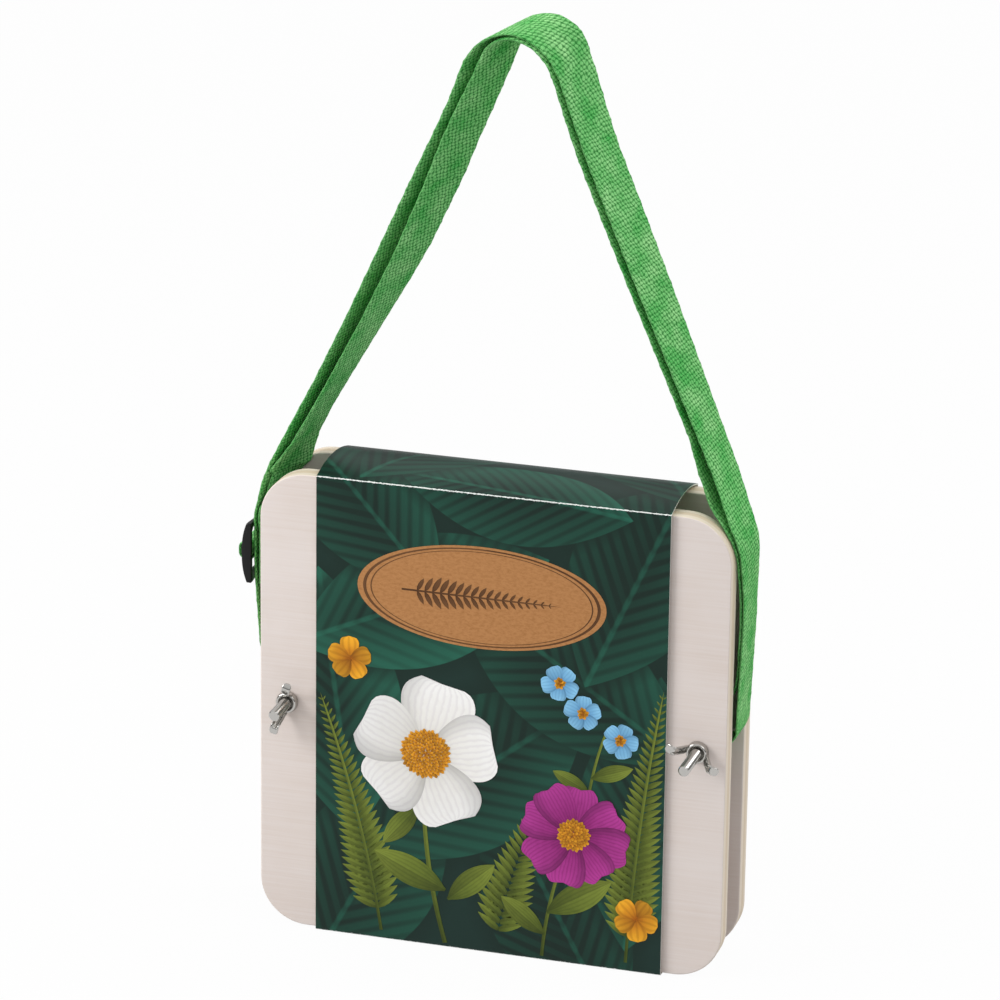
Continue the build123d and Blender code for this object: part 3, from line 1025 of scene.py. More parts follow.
    def build_nut(self) -> Piece:
        """Model the nut: a flanged collar with a rolled lip, and two wings."""
        bore = self.shank_radius + self.bore_clearance
        f, c, h, lip = self.flange_radius, self.collar_radius, self.collar_height, self.lip
        profile = [(bore, 0.0), (f - self.flange_round, 0.0), (f, -self.flange_round),
                   (f, -self.flange_height)]
        roll = np.linspace(0, math.pi, 11)
        profile += [(c - lip + lip * math.cos(a), -h + lip - lip * math.sin(a)) for a in roll]
        profile += [(c - 2 * lip, -h * self.throat), (bore, -h * self.bore_rise), (bore, 0.0)]
        collar = lathe(f"{self.side}_collar", profile, self.segments)
        wings = [self.build_wing(self.wing_angle + half_turn) for half_turn in (0.0, 180.0)]
        nut = join([collar, *wings], f"{self.side}_wing_nut_stamped")
        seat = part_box(f"{self.side}_wing_nut")[1].y
        centre = nut_axis(self.side)
        nut.data.transform(Matrix.Translation((centre.x, seat, centre.z)))
        smooth(nut, 50)
        return nut

    def build(self) -> None:
        """Model and dress the bolt and its nut."""
        bolt = self.build_bolt()
        dress(bolt, self.finish)
        hand_over(bolt, Body.PRESS, Slot.STEEL, f"{self.side}_bolt")
        nut = self.build_nut()
        dress(nut, self.finish)
        hand_over(nut, self.nut_body, Slot.STEEL, f"{self.side}_wing_nut")


@dataclass
class CarryStrap:
    """Doubled webbing strap: sewn tail, left bolt, over the top, right bolt, and back to the slider."""

    weave: Weave
    finish: Material
    left: float = mm(-104.4)
    right: float = mm(102.3)
    left_shoulder: float = mm(178.0)
    right_shoulder: float = mm(186.8)
    peak_x: float = mm(7.3)
    peak_z: float = mm(411.6)
    layer_shift: float = mm(0.95)
    peak_radius: float = mm(14)
    shoulder_radius: float = mm(28)
    lean_radius: float = mm(20)
    return_radius: float = mm(10)
    loop_radius: float = mm(3.45)
    loop_bend: float = mm(3.15)
    sway_radius: float = mm(100)
    left_sway_rise: float = mm(53.4)
    left_return: tuple[float, float] = (mm(2.6), mm(17.4))
    left_fork: tuple[float, float] = (mm(3.9), mm(18.6))
    tail: tuple[float, float] = (mm(-1.8), mm(21.5))
    right_sway_rise: float = mm(51.4)
    right_return: tuple[float, float] = (mm(-2.0), mm(0.5))
    right_fork: tuple[float, float] = (mm(-1.15), mm(23.4))
    right_inner_sway: tuple[float, float] = (mm(0.75), mm(49.4))
    end_rise: float = mm(47)
    # Yaws in degrees, splays and bows in millimetres, by share of the climb from shoulder to crest.
    left_outer_yaw: Marks = ((-0.03, 0), (0, 3.5), (0.03, 7), (0.06, 17.5), (0.1, 24), (0.14, 23),
                             (0.21, 20), (0.28, 16.5), (0.42, 17), (0.56, 22), (0.7, 27.5), (0.84, 31.5),
                             (0.92, 36), (1, 35))
    left_inner_yaw: Marks = ((-0.03, 0), (0.03, 11), (0.09, 31), (0.12, 22), (0.15, 13.5), (0.21, 11),
                             (0.28, 12), (0.35, 14.5), (0.42, 17), (0.49, 22), (0.56, 25), (0.7, 29.5),
                             (1, 35))
    right_yaw: Marks = ((-0.12, 0), (-0.04, 4.5), (0.04, 9), (0.2, 11), (0.35, 15.5), (0.5, 20), (0.65, 22),
                        (0.93, 22), (1, 35))
    left_splay: Marks = ((0, 0.2), (0.14, 0.8), (0.21, 1.4), (0.28, 2.4), (0.35, 3.3), (0.42, 4.2),
                         (0.49, 4.8), (0.56, 5.2), (0.7, 4), (0.77, 2.6), (0.84, 1.9),
                         (0.91, 1.4), (0.97, 0.4), (1, 0))
    right_splay: Marks = ((-0.02, 0), (0.02, 0.1), (0.045, 0.9), (0.09, 3.6), (0.15, 3.4), (0.22, 1.5),
                          (0.35, 1.3), (0.8, 1.2), (0.97, 0.3), (1, 0))
    left_bow: Marks = ((0.8, 0), (0.86, 0.6), (0.9, 1.6), (0.94, 2.8), (0.97, 2), (1, 0))
    right_bow: Marks = ((0.76, 0), (0.84, 1), (0.91, 2.2), (0.95, 2.2), (1, 0))
    bow_clear: float = mm(6)
    peak_tilt: float = 15.0
    tilt_from: float = 0.78
    left_forward: float = mm(0.45)
    left_rim: tuple[float, float] = (0.045, 0.06)
    right_forward: float = mm(3.6)
    right_rim: tuple[float, float] = (0.02, 0.13)
    drawn_width: float = mm(18.6)
    set_back: float = mm(0.8)
    draw_start: float = mm(1.9)
    draw_end: float = mm(0.9)
    corner_radius: float = mm(20)
    step: float = mm(0.5)

    def layer(self, shift: float) -> list[Array]:
        """Left shoulder, peak and right shoulder of one layer, moved outwards by shift."""
        line = np.array([(self.left, 0.0), (self.left, self.left_shoulder), (self.peak_x, self.peak_z),
                         (self.right, self.right_shoulder), (self.right, 0.0)])
        corners = []
        for before, corner, after in zip(line, line[1:], line[2:]):
            normals = []
            for start, end in ((before, corner), (corner, after)):
                run = (end - start) / np.linalg.norm(end - start)
                normals.append(np.array([-run[1], run[0]]))
            reach = shift / (1 + float(normals[0] @ normals[1]))
            corners.append(corner + (normals[0] + normals[1]) * reach)
        return corners

    def loop_corner(self, start: Array, bolt: Array, far_side: int, turn_side: int) -> Array:
        """Corner beyond a bolt, on the line from start that touches the loop round it.

        Args:
            start: where the line comes from.
            bolt: the bolt's axis.
            far_side: 1 where the loop's far side lies at +X of the bolt, else -1.
            turn_side: 1 where the line passes to the left of the bolt, seen from start, else -1.

        Returns:
            The corner's place.
        """
        reach = bolt - start
        swerve = math.asin(self.loop_radius / np.linalg.norm(reach))
        heading = math.atan2(reach[1], reach[0]) + turn_side * swerve
        far_x = bolt[0] + far_side * self.loop_radius
        return np.array([far_x, start[1] + (far_x - start[0]) * math.tan(heading)])

    def route(self) -> tuple[Array, Array]:
        """Middle line of the webbing from its sewn tail to its end at the slider."""
        bolts = [np.array(nut_axis(side))[[0, 2]] for side in ("left", "right")]
        z = bolts[0][1]
        left_out, left_in = self.left - self.layer_shift, self.left + self.layer_shift
        right_out, right_in = self.right + self.layer_shift, self.right - self.layer_shift
        left_fork, left_return, right_return, right_fork, right_inner_sway = (
            np.array([x + shift[0], z + shift[1]]) for x, shift in (
                (left_in, self.left_fork), (left_out, self.left_return), (right_out, self.right_return),
                (right_in, self.right_fork), (right_in, self.right_inner_sway)))
        corners = [
            left_fork + np.array(self.tail), left_fork,
            self.loop_corner(left_fork, bolts[0], 1, 1), self.loop_corner(left_return, bolts[0], 1, -1),
            left_return, np.array([left_out, z + self.left_sway_rise]), *self.layer(self.layer_shift),
            np.array([right_out, z + self.right_sway_rise]), right_return,
            self.loop_corner(right_return, bolts[1], -1, 1), self.loop_corner(right_fork, bolts[1], -1, -1),
            right_fork, right_inner_sway, *reversed(self.layer(-self.layer_shift)),
            np.array([left_in, z + self.end_rise]),
        ]
        bends = [self.shoulder_radius, self.peak_radius, self.shoulder_radius]
        loop = [self.loop_bend, self.loop_bend]
        radii = [self.lean_radius, *loop, self.lean_radius, self.sway_radius]
        radii += [r + self.layer_shift for r in bends]
        radii += [self.sway_radius, self.return_radius, *loop, self.lean_radius, self.sway_radius]
        radii += [r - self.layer_shift for r in bends]
        return rounded_route(np.array(corners), radii, self.step)

    def spread(self, x: Array, z: Array) -> Array:
        """Share from 0, where the webbing lies drawn in between the boards, to 1, clear of them."""
        low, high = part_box("front_board")
        beyond_x = np.abs(x) - high.x + self.corner_radius
        beyond_z = np.abs(z - (low.z + high.z) / 2) - (high.z - low.z) / 2 + self.corner_radius
        inside = np.minimum(np.maximum(beyond_x, beyond_z), 0)
        distance = np.hypot(np.maximum(beyond_x, 0), np.maximum(beyond_z, 0)) + inside - self.corner_radius
        return ease((distance - self.draw_end) / (self.draw_start - self.draw_end))

    def build(self) -> None:
        """Model and dress the strap."""
        line, lengths = self.route()
        crest = float(line[:, 1].max())

        def lie(at: Array, x: Array, z: Array, tangent: Array) -> tuple[Array, Array, Array]:
            """Middle, direction across and width of the strap at lengths, places and tangents."""
            outer = at < lengths[-1] / 2
            on_left = x < self.peak_x
            foot = np.where(on_left, self.left_shoulder, self.right_shoulder)
            climb = (z - foot) / (crest - foot)
            left_yaws = (self.left_outer_yaw, self.left_inner_yaw)
            left_yaw = np.where(outer, *(by_marks(climb, m) for m in left_yaws))
            yaw = np.radians(np.where(on_left, left_yaw, by_marks(climb, self.right_yaw)))
            tilt = np.radians(self.peak_tilt) * ease((climb - self.tilt_from) / (1 - self.tilt_from))
            across = np.column_stack([np.sin(yaw) * np.cos(tilt), np.cos(yaw) * np.cos(tilt), np.sin(tilt)])
            spread = self.spread(x, z)
            width = self.drawn_width + (self.weave.width - self.drawn_width) * spread
            leg_splay = np.where(on_left, *(by_marks(climb, m) for m in (self.left_splay, self.right_splay)))
            splay = np.where(outer, 0.0, leg_splay * mm(1))
            left_bow, right_bow = (by_marks(climb, m) * mm(1) for m in (self.left_bow, self.right_bow))
            bow = np.where(on_left, -left_bow * outer, right_bow)
            bow *= ease(np.abs(x - self.peak_x) / self.bow_clear)
            rims = ((self.left_forward, *self.left_rim), (self.right_forward, *self.right_rim))
            over_rim = np.where(on_left, *(by * ease(1 - np.abs(climb - at_rim) / run)
                                           for by, at_rim, run in rims))
            y = self.set_back * (1 - spread) - over_rim
            inward = np.column_stack([-tangent[:, 1], np.zeros_like(x), tangent[:, 0]])
            return np.column_stack([x + bow, y, z]) + splay[:, None] * inward, across, width

        strap = self.weave.build("carry_strap_webbing", line, lengths, lie)
        dress(strap, self.finish)
        hand_over(strap, Body.PRESS, Slot.WEBBING, "carry_strap")
        LOG.info("strap length %.0f mm", lengths[-1] / mm(1))


@dataclass
class Slider:
    """Moulded slider with two windows and a middle bar, and the strap's end sewn round the bar."""

    weave: Weave
    plastic: Material
    webbing: Material
    side_wall: float = mm(2.2)
    rail: float = mm(3.8)
    bar: float = mm(4.4)
    edge_round: float = mm(0.7)
    sheet: float = mm(3.9)
    wall: float = mm(4.2)
    taper: float = mm(2.2)
    snug: float = mm(0.5)
    bar_share: float = 0.45
    bar_depth: float = mm(0.5)
    taper_power: float = 2.5
    wall_blend: float = mm(1.5)
    cuts: int = 4
    fold_step: float = mm(0.1)
    fold_radii: tuple[float, ...] = (mm(0.8), mm(1.4), mm(1.6), mm(2.2), mm(2.2))
    inner_fold: float = 1.05
    fold_steps: tuple[float, float, float, float] = (1.2, 0.4, 0.2, 0.3)

    def build_frame(self) -> Piece:
        """Model the slider's frame, bowed outwards and thinner at its bars than at its sides."""
        low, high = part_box("strap_slider")
        middle = (low.z + high.z) / 2
        half = (high.z - low.z) / 2
        columns = [low.y, low.y + self.side_wall, high.y - self.side_wall, high.y]
        rows = [low.z, low.z + self.rail, middle - self.bar / 2, middle + self.bar / 2, high.z - self.rail,
                high.z]

        def place(across: Array, along: Array) -> Array:
            """Place on the frame's flat sheet for shares across and along it."""
            y = np.array(columns)[np.rint(across * (len(columns) - 1)).astype(int)]
            z = np.array(rows)[np.rint(along * (len(rows) - 1)).astype(int)]
            return np.column_stack([np.full_like(y, high.x - self.sheet / 2), y, z])

        slider = grid("strap_slider_moulded", len(columns) - 1, len(rows) - 1)
        shape(slider, place)
        bpy.ops.object.mode_set(mode="EDIT")
        bpy.ops.mesh.select_all(action="DESELECT")
        bpy.ops.object.mode_set(mode="OBJECT")
        for face in slider.data.polygons:
            above_bar = abs(face.center.z - middle)
            in_window = self.bar / 2 < above_bar < half - self.rail
            face.select = in_window and columns[1] < face.center.y < columns[2]
        bpy.ops.object.mode_set(mode="EDIT")
        bpy.ops.mesh.delete(type="FACE")
        bpy.ops.mesh.select_all(action="SELECT")
        bpy.ops.mesh.subdivide(number_cuts=self.cuts)
        bpy.ops.object.mode_set(mode="OBJECT")
        modify(slider, "SOLIDIFY", thickness=self.sheet, offset=0.0)
        modify(slider, "BEVEL", width=self.edge_round, segments=3, limit_method="ANGLE",
               angle_limit=math.radians(50))
        points = read_points(slider)
        inner = high.x + self.snug
        rise = (points[:, 2] - middle) / half
        crest = inner - self.wall + self.taper * np.abs(rise) ** self.taper_power
        inwards = 1 - (high.x - points[:, 0]) / self.sheet
        inboard = ease((high.y - self.side_wall - np.abs(points[:, 1])) / self.wall_blend)
        points[:, 0] = crest + (inner - crest) * inwards * (1 - inboard * (1 - self.bar_share))
        points[:, 0] += inboard * self.bar_depth
        write_points(slider, points)
        close_up(slider)
        smooth(slider, 40)
        return slider

    def build_end(self) -> Piece:
        """Model the webbing's end, folded round the bar and sewn to itself."""
        low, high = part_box("strap_end_loop")
        t = self.weave.thickness
        inner, outer = high.x - t / 2, low.x + t / 2
        foot, head = low.z + t / 2, high.z - t / 2
        under = outer + t * self.inner_fold
        first, second, third, last = (t * share for share in self.fold_steps)
        corners = np.array([(under, head - t), (under, foot + first), (inner, foot + second), (inner, head),
                            (outer, head), (outer, foot + third), (inner - third, foot - last)])
        line, lengths = rounded_route(corners, self.fold_radii, self.fold_step)

        def lie(at: Array, x: Array, z: Array, tangent: Array) -> tuple[Array, Array, Array]:
            """Middle, direction across and width of the end at lengths, places and tangents."""
            flat = np.zeros_like(x)
            across = np.column_stack([flat, flat + 1, flat])
            return np.column_stack([x, flat, z]), across, flat + self.weave.width

        return self.weave.build("strap_end_webbing", line, lengths, lie)

    def build(self) -> None:
        """Model and dress the slider and the webbing on it."""
        slider = self.build_frame()
        dress(slider, self.plastic)
        hand_over(slider, Body.SLIDER, Slot.SLIDER, "strap_slider")
        end = self.build_end()
        dress(end, self.webbing)
        hand_over(end, Body.SLIDER, Slot.WEBBING, "strap_end_loop")


@dataclass
class Sleeve:
    """Folded card sleeve round the boards, printed outside and glued along a lap at the back."""

    card: float = mm(0.5)
    fold: float = mm(0.7)
    crown: float = mm(2.8)
    lap_low: float = mm(22)
    lap_high: float = mm(48)
    lap_ease: float = mm(14)
    lap_radius: float = mm(60)
    lap_share: float = 1.1
    arch_share: float = 3.2
    bow: float = mm(0.7)
    bow_margin: float = mm(0.2)
    columns: int = 36
    row: float = mm(0.6)
    step: float = mm(0.15)

    def front_bow(self, x: Array, z: Array) -> Array:
        """How far the front panel stands out at a place."""
        low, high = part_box("printed_sleeve")
        across = np.clip(1 - (x / high.x) ** 2, 0, 1)
        share = (z - low.z) / (high.z - low.z)
        return self.bow * across * np.clip(4 * share * (1 - share), 0, 1)

    def build(self) -> None:
        """Model, print and dress the sleeve."""
        low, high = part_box("printed_sleeve")
        half = self.card / 2
        front, back = low.y + half, high.y - half
        floor, shoulder = low.z + half, high.z - self.crown - half
        middle = (front + back) / 2
        lap = back + self.card * self.lap_share
        corners = np.array([(back, self.lap_high), (back, floor), (front, floor), (front, shoulder),
                            (middle, shoulder + 2 * self.crown), (back, shoulder),
                            (lap, self.lap_high + self.lap_ease), (lap, self.lap_low)])
        arch = (back - front) / 2 * self.arch_share
        radii = [self.fold, self.fold, self.fold, arch, self.fold, self.lap_radius]
        line, lengths = rounded_route(corners, radii, self.step)
        start, top, rear = (lengths[int(np.argmin(np.abs(line - corner).sum(axis=1)))]
                            for corner in ((front, floor), (front, shoulder), (back, shoulder)))
        sheet: dict[str, Array] = {}
        rows = int(lengths[-1] / self.row)

        def place(across: Array, along: Array) -> Array:
            """Place on the folded card for shares across and along its flat sheet."""
            at = along * lengths[-1]
            y, z = on_line(at, lengths, line).T
            x = low.x + across * (high.x - low.x)
            on_front = y < front + self.bow_margin
            sheet["values"] = np.column_stack([x, at - start, np.zeros_like(x)])
            return np.column_stack([x, y - np.where(on_front, self.front_bow(x, z), 0.0), z])

        sleeve = grid("printed_sleeve_card", self.columns, rows)
        shape(sleeve, place)
        mark(sleeve, "sheet", sheet["values"])
        inside = FibreSheet("unprinted_white_board", "#DEDCD6", "#CFCCC4", mm(0.8)).material()
        edge = FibreSheet("cut_card_edge", "#EDEDEA", "#D9D8D2", mm(0.5)).material()
        dress(sleeve, FoliagePrint().material([top - start, 0.0, rear - start]), inside, edge)
        modify(sleeve, "SOLIDIFY", thickness=self.card, offset=0.0, material_offset=1, material_offset_rim=2)
        smooth(sleeve, 35)
        hand_over(sleeve, Body.SLEEVE, Slot.SLEEVE, "printed_sleeve")


@dataclass(frozen=True)
class Blade:
    """Outline of one printed petal, leaf or stem, in millimetres, with its foot at the origin."""

    length: float
    width: float
    foot_power: float = 0.8
    tip_power: float = 0.45
    foot: float = 0.1
    notch: float = 0.0
    bend: float = 0.0
    frill: float = 0.0
    columns: int = 12
    rows: int = 22
    least: float = 0.03
    notch_width: float = 0.35
    frill_waves: float = 9.0
    dip_power: int = 6

    def place(self, across: Array, along: Array) -> Array:
        """Where each share across and along the blade lies, upright and facing forwards."""
        p, q = self.foot_power, self.tip_power
        fullest = (p / (p + q)) ** p * (q / (p + q)) ** q
        swell = along ** p * (1 - along) ** q / fullest
        half = self.width / 2 * np.maximum(np.maximum(swell, self.foot * (1 - along)), self.least)
        side = across * 2 - 1
        x = side * half + self.bend * self.length * along ** 2
        aside = side * swell
        dip = self.notch * np.exp(-(aside / self.notch_width) ** 2)
        dip += self.frill * np.cos(aside * self.frill_waves + self.length)
        z = self.length * (along - dip * along ** self.dip_power)
        return np.column_stack([x, np.zeros_like(x), z]) * mm(1)

    def build(self) -> Piece:
        """Model the blade once, as a thin closed film."""
        blade = grid("printed_blade", self.columns, self.rows)
        flat = read_points(blade)
        shape(blade, self.place)
        mark(blade, "blade", np.column_stack([flat[:, 0] * 2, flat[:, 1] + 0.5, np.zeros(len(flat))]))
        modify(blade, "SOLIDIFY", thickness=INK_FILM, offset=1.0)
        return blade


@dataclass(frozen=True)
class Stamp:
    """Place of one copy of a blade on the sleeve's front, in millimetres and degrees from upright."""

    x: float
    z: float
    turn: float
    size: float = 1.0
    lift: float = 0.0


def stamp_blades(blade: Blade, stamps: Sequence[Stamp]) -> list[Piece]:
    """Model a blade once and copy it to each place.

    Args:
        blade: the blade's outline.
        stamps: where its copies lie.

    Returns:
        The copies, each with a number of its own for its shade.
    """
    pattern = blade.build()
    draw = np.random.default_rng(len(stamps))
    copies = []
    for stamp in stamps:
        move = (Matrix.Translation((mm(stamp.x), -mm(stamp.lift), mm(stamp.z)))
                @ Matrix.Rotation(math.radians(stamp.turn), 4, "Y")
                @ Matrix.Diagonal((stamp.size, 1.0, stamp.size, 1.0)))
        copy = copy_piece(pattern, "printed_blade_copy", move)
        layer = copy.data.attributes["blade"]
        values = np.empty(len(layer.data) * 3, dtype=np.float32)
        layer.data.foreach_get("vector", values)
        values[2::3] = draw.uniform(0, 1)
        layer.data.foreach_set("vector", values)
        copies.append(copy)
    bpy.data.objects.remove(pattern)
    return copies


# How the print's petals, florets and leaflets lie, in millimetres, degrees and shares.
PETAL_SWAY, PETAL_SIZES, PETAL_LIFT = 5.0, (0.93, 1.05), 0.012
GOLDEN_ANGLE, FLORET_CROWDING, FLORET_INSET = 137.508, 0.6, 0.8
FLORET_LIFT, FLORET_LAYERS = 0.004, 5
LEAFLET_PITCH, LEAFLET_LIFT, BARE_STALK = 3.6, 0.006, 0.1


def whorl(x: float, z: float, count: int, turn: float, lift: float, size: float = 1.0) -> list[Stamp]:
    """Petals round a flower's heart, each a little uneven and laid over the one before.

    Args:
        x: place of the heart across the sleeve.
        z: place of the heart up the sleeve.
        count: number of petals.
        turn: direction of the first petal.
        lift: height of the lowest petal over the card.
        size: share of the petal's own size.

    Returns:
        A stamp for each petal.
    """
    draw = np.random.default_rng(int(1000 + 7 * x + 3 * z))
    return [Stamp(x, z, turn + i * 360 / count + draw.uniform(-PETAL_SWAY, PETAL_SWAY),
                  size * draw.uniform(*PETAL_SIZES), lift + PETAL_LIFT * i) for i in range(count)]


def seeds(x: float, z: float, count: int, pitch: float, lift: float) -> list[Stamp]:
    """Florets of a flower's heart, in the spiral in which they grow.

    Args:
        x: place of the heart across the sleeve.
        z: place of the heart up the sleeve.
        count: number of florets.
        pitch: distance between florets.
        lift: height over the card.

    Returns:
        A stamp for each floret.
    """
    stamps = []
    for i in range(count):
        angle = math.radians(i * GOLDEN_ANGLE)
        reach = pitch * FLORET_CROWDING * math.sqrt(i) - FLORET_INSET
        stamps.append(Stamp(x + reach * math.sin(angle), z + reach * math.cos(angle), math.degrees(angle),
                            1.0, lift + FLORET_LIFT * (i % FLORET_LAYERS)))
    return stamps


def frond(x: float, z: float, turn: float, length: float, bend: float, lift: float) -> list[Stamp]:
    """Leaflets in pairs along a fern's frond.

    Args:
        x: foot of the frond across the sleeve.
        z: foot of the frond up the sleeve.
        turn: direction of the frond at its foot.
        length: length of the frond.
        bend: how far its tip swings aside, as a share of its length.
        lift: height over the card.

    Returns:
        A stamp for each leaflet.
    """
    stamps = []
    pairs = int(length / LEAFLET_PITCH)
    for i in range(pairs):
        share = BARE_STALK + (1 - BARE_STALK) * i / pairs
        lean = math.degrees(math.atan(2 * bend * share))
        aside, up = bend * length * share ** 2, length * share
        c, s = math.cos(math.radians(turn)), math.sin(math.radians(turn))
        # Leaflets grow over the first fifth of the frond, then shrink to its tip and turn forwards.
        size = (1 - share) ** 0.75 * (0.45 + 0.55 * min(1.0, share * 5)) + 0.08
        for side in (-1, 1):
            stamps.append(Stamp(x + aside * c + up * s, z + up * c - aside * s,
                                turn + lean + side * (64 - 18 * share), size,
                                lift + LEAFLET_LIFT * (side + 1)))
    return stamps


@dataclass
class PrintedFlowers:
    """Pressed flowers, ferns and a kraft label with a sprig, printed on the sleeve's front."""

    sleeve: Sleeve
    label_x: float = -4.0
    label_z: float = 157.0
    label_half_width: float = 53.0
    label_half_height: float = 22.0
    label_rows: int = 96

    def lay(self, copies: Sequence[Piece], name: str, ink: Material) -> None:
        """Join copies, lay them on the bowed front panel and dress them.

        Args:
            copies: flat pieces of one ink.
            name: name of the joined piece.
            ink: its material.
        """
        piece = join(copies, name)
        points = read_points(piece)
        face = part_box("printed_sleeve")[0].y
        points[:, 1] += face - self.sleeve.front_bow(points[:, 0], points[:, 2])
        write_points(piece, points)
        smooth(piece, 30)
        dress(piece, ink)
        hand_over(piece, Body.SLEEVE, Slot.SLEEVE)

    def oval(self, inner: float, outer: float, lift: float, columns: int) -> Piece:
        """Model an oval band of the label.

        Args:
            inner: inner edge, as a share of the label.
            outer: outer edge, as a share of the label.
            lift: height over the card in millimetres.
            columns: faces across the band.

        Returns:
            The band as a thin closed film.
        """
        def place(across: Array, along: Array) -> Array:
            """Place on the band for shares across and along it."""
            angle, reach = along * math.tau, inner + (outer - inner) * across
            x = self.label_x + self.label_half_width * reach * np.sin(angle)
            z = self.label_z + self.label_half_height * reach * np.cos(angle)
            return np.column_stack([x, np.full_like(x, -lift), z]) * mm(1)

        band = grid("label_band", columns, self.label_rows)
        flat = read_points(band)
        shape(band, place)
        mark(band, "blade", np.column_stack([flat[:, 0] * 2, flat[:, 1] + 0.5, np.full(len(flat), 0.5)]))
        edit(band, partial(bpy.ops.mesh.remove_doubles, threshold=MEETING), bpy.ops.mesh.flip_normals)
        modify(band, "SOLIDIFY", thickness=INK_FILM, offset=1.0)
        return band

    def build(self) -> None:
        """Print the label, the leaves and the flowers, from the lowest ink to the highest."""
        olive = Ink("printed_fern_green", "#4A5A1C", "#7E8C36", "#343F14", 7.0, 0.25, 0.74, -0.05,
                    0.05).material()
        white = Ink("printed_white_petal", "#E3DFD6", "#F6F5F3", "#D2CCCF", 11.0, 0.3, 0.74).material()
        magenta = Ink("printed_magenta_petal", "#7A125E", "#B63C96", "#5E0D49", 11.0, 0.3, 0.62).material()
        sky_blue = Ink("printed_blue_petal", "#5A96C8", "#8AC6EA", "#3F78AB", 5.0, 0.25, 0.74).material()
        gold = Ink("printed_golden_floret", "#B4640E", "#EBA829", "#8E4E0B", 3.0, 0.3, 0.8,
                   spread=0.4).material()
        brown = Ink("printed_brown_line", "#5B3A20", "#6E4A2C", "#49301B", 3.0, 0.2).material()
        kraft = FibreSheet("printed_kraft_label", "#B5804F", "#A06C3D", mm(2.2), 0.45).material()
        leaf = Blade(34, 13, 0.9, 0.9)
        fern_leaflet = Blade(15, 4.4, 0.5, 0.9, 0.5, columns=2, rows=4)
        stem = Blade(70, 2.0, 0.1, 0.2, 1.0, bend=0.14, columns=2, rows=16)
        stems = [Stamp(-18, 2, -16, 1.0, 0.1), Stamp(24, 2, 4, 0.75, 0.1), Stamp(42, 66, 4, 0.6, 0.1)]
        leaves = [Stamp(-18, 26, -66, 1.0, 0.14), Stamp(-17, 22, 48, 0.8, 0.15),
                  Stamp(26, 22, 58, 0.95, 0.16), Stamp(25, 12, -52, 0.7, 0.17),
                  Stamp(-30, 62, -140, 0.7, 0.18), Stamp(44, 84, 70, 0.55, 0.14),
                  Stamp(43, 78, -64, 0.5, 0.15)]
        ferns = (frond(-46, 4, -9, 106, -0.1, 0.03) + frond(60, 4, 3, 122, 0.06, 0.03)
                 + frond(4, 4, 8, 74, 0.16, 0.05))
        ribs = [Stamp(-46, 4, -9, 1.0, 0.07), Stamp(60, 4, 3, 1.0, 0.07)]
        self.lay(stamp_blades(fern_leaflet, ferns) + stamp_blades(stem, stems) + stamp_blades(leaf, leaves)
                 + stamp_blades(Blade(106, 1.4, 0.1, 0.3, 1.0, bend=-0.1, columns=2, rows=16), ribs[:1])
                 + stamp_blades(Blade(122, 1.4, 0.1, 0.3, 1.0, bend=0.06, columns=2, rows=16), ribs[1:]),
                 "printed_leaves", olive)
        self.lay([self.oval(0.02, 1.0, 0.1, 6)], "printed_label", kraft)
        sprig = frond(self.label_x - 34, self.label_z, 90, 66, 0.0, 0.15)
        line = [Stamp(self.label_x - 34, self.label_z, 90, 1.0, 0.16)]
        self.lay([self.oval(0.93, 0.955, 0.15, 1), self.oval(0.885, 0.895, 0.15, 1)]
                 + stamp_blades(Blade(8.5, 2.6, 0.7, 0.8, columns=2, rows=4), sprig)
                 + stamp_blades(Blade(68, 0.8, 0.1, 0.3, 1.0, columns=2, rows=8), line),
                 "printed_label_lines", brown)
        self.lay(stamp_blades(Blade(33, 31, 0.9, 0.42, 0.2, 0.06, frill=0.015), whorl(-27, 86, 5, 8, 0.22)),
                 "printed_white_flower", white)
        self.lay(stamp_blades(Blade(24, 17, 0.85, 0.35, 0.2, 0.08, frill=0.02), whorl(37, 58, 8, 12, 0.2)),
                 "printed_magenta_flower", magenta)
        small = [(40, 112), (56, 102), (30, 124)]
        self.lay(stamp_blades(Blade(8.2, 7.2, 0.8, 0.42, 0.3, 0.04, columns=8, rows=12),
                              [s for i, (x, z) in enumerate(small) for s in whorl(x, z, 5, 20 * i, 0.2)]),
                 "printed_blue_flowers", sky_blue)
        buttercups = [stamp for i, (x, z) in enumerate([(-60, 124), (64, 24)])
                      for stamp in whorl(x, z, 5, 30 * i, 0.2)]
        hearts = (seeds(-27, 86, 190, 1.25, 0.34) + seeds(37, 58, 90, 1.15, 0.36)
                  + [s for x, z in small for s in seeds(x, z, 14, 0.8, 0.3)])
        self.lay(stamp_blades(Blade(2.0, 1.5, 0.6, 0.4, 0.4, columns=2, rows=3), hearts)
                 + stamp_blades(Blade(10, 8.6, 0.8, 0.4, 0.3, columns=8, rows=12), buttercups),
                 "printed_golden_florets", gold)


@dataclass(frozen=True)
class Softbox:
    """Square lamp: its name, where it hangs, the length of its side and its power in watts."""

    name: str
    place: tuple[float, float, float]
    size: float
    power: float


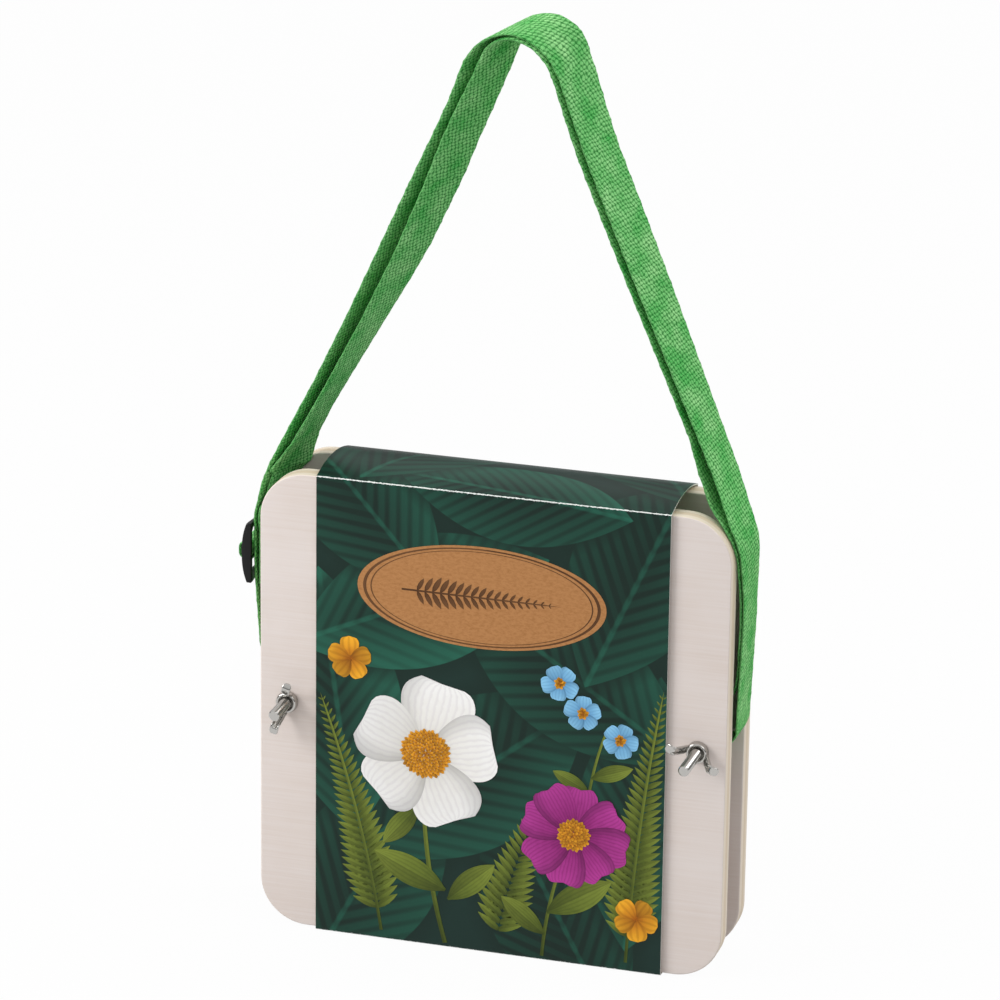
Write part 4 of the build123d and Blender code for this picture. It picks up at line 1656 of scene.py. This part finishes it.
@dataclass
class Studio:
    """Pale floor, soft light and a camera at the photograph's angle."""

    azimuth: float = 16.57
    elevation: float = 19.11
    roll: float = 0.78
    lens: float = 192.085
    distance: float = mm(2191.1)
    target: tuple[float, float, float] = (0.0, mm(-19.5), mm(100.6))
    rightwards: float = mm(3.85)
    upwards: float = mm(92.82)
    floor_size: float = 12.0
    floor_share: float = 0.97
    floor_colour: str = "#CACACA"
    horizon: float = 0.08
    zenith: float = 0.9
    dome_from: float = 0.02
    dome_to: float = 0.6
    sensor: float = 36.0
    lit_height: float = mm(180)
    lamps: tuple[Softbox, ...] = (Softbox("key_softbox", (-1.0, -0.7, 0.75), 0.7, 12.0),
                                  Softbox("rim_softbox", (1.3, 0.2, 1.5), 1.0, 12.0))

    def build_floor(self) -> None:
        """Lay a white floor that keeps the object's shadow."""
        deselect()
        bpy.ops.mesh.primitive_grid_add(x_subdivisions=4, y_subdivisions=4, size=self.floor_size)
        floor = bpy.context.object
        floor.name = "studio_floor"
        s = Surface("studio_floor", {"Base Color": srgb(self.floor_colour), "Roughness": 0.9,
                                     "Specular IOR Level": 0.0})
        paths = s.add("LightPath").outputs
        seen = s.add("Math", paths["Is Camera Ray"], paths["Is Glossy Ray"], operation="MAXIMUM")
        shown = s.add("Math", seen, paths["Is Transmission Ray"], operation="MAXIMUM")
        share = s.add("Math", shown, self.floor_share, operation="MULTIPLY")
        glow = s.add("Emission", {"Color": (1.0, 1.0, 1.0, 1.0), "Strength": 1.0})
        mixed = s.add("MixShader", share, s.shader, glow)
        s.plug(s.tree.nodes["Material Output"].inputs["Surface"], mixed)
        dress(floor, s.material)

    def build_sky(self) -> None:
        """Light the room from above by a dome that darkens towards its horizon."""
        world = bpy.data.worlds.new("studio_sky")
        world.use_nodes = True
        bpy.context.scene.world = world
        sky = Graph(world.node_tree)
        height = sky.add("SeparateXYZ", {"Vector": sky.add("TexCoord").outputs["Generated"]}).outputs["Z"]
        dome = sky.add("MapRange", {"Value": height, "From Min": self.dome_from, "From Max": self.dome_to,
                                    "To Min": self.horizon, "To Max": self.zenith},
                       interpolation_type="SMOOTHSTEP")
        sky.plug(world.node_tree.nodes["Background"].inputs["Color"], (1.0, 1.0, 1.0, 1.0))
        sky.plug(world.node_tree.nodes["Background"].inputs["Strength"], dome)

    def hang(self, softbox: Softbox) -> None:
        """Hang a softbox so that it looks at the object."""
        light = bpy.data.lights.new(softbox.name, "AREA")
        light.size = softbox.size
        light.energy = softbox.power
        lamp = bpy.data.objects.new(softbox.name, light)
        bpy.context.scene.collection.objects.link(lamp)
        lamp.location = softbox.place
        lamp.rotation_mode = "QUATERNION"
        aim = Vector((0, 0, self.lit_height)) - Vector(softbox.place)
        lamp.rotation_quaternion = aim.to_track_quat("-Z", "Y")

    def build_camera(self) -> None:
        """Place the camera as the photograph's was."""
        a, e, r = (math.radians(v) for v in (self.azimuth, self.elevation, self.roll))
        ahead = Vector((-math.sin(a) * math.cos(e), math.cos(a) * math.cos(e), -math.sin(e)))
        right = Vector((math.cos(a), math.sin(a), 0.0))
        up = right.cross(ahead)
        right, up = right * math.cos(r) + up * math.sin(r), up * math.cos(r) - right * math.sin(r)
        eye = Vector(self.target) - ahead * self.distance + right * self.rightwards + up * self.upwards
        data = bpy.data.cameras.new("photo_camera")
        data.lens = self.lens
        data.sensor_width = self.sensor
        camera = bpy.data.objects.new("photo_camera", data)
        bpy.context.scene.collection.objects.link(camera)
        turn = Matrix((right, up, -ahead)).transposed().to_4x4()
        camera.matrix_world = Matrix.Translation(eye) @ turn
        bpy.context.scene.camera = camera

    def build(self) -> None:
        """Set up floor, light and camera."""
        self.build_floor()
        self.build_sky()
        for softbox in self.lamps:
            self.hang(softbox)
        self.build_camera()
        bpy.context.scene.view_settings.view_transform = "Standard"


def main() -> None:
    """Build every sub-assembly in order."""
    logging.basicConfig(level=logging.INFO, format="%(name)s: %(message)s")
    weave = Weave()
    webbing = Webbing().material()
    steel = PlatedSteel().material()
    Studio().build()
    Boards().dress()
    Stack().build()
    Fastener("left", Body.LEFT_NUT, 74.0, steel).build()
    Fastener("right", Body.RIGHT_NUT, -22.0, steel).build()
    CarryStrap(weave, webbing).build()
    Slider(weave, MouldedPlastic().material(), webbing).build()
    sleeve = Sleeve()
    sleeve.build()
    PrintedFlowers(sleeve).build()


if __name__ == "__main__":
    main()
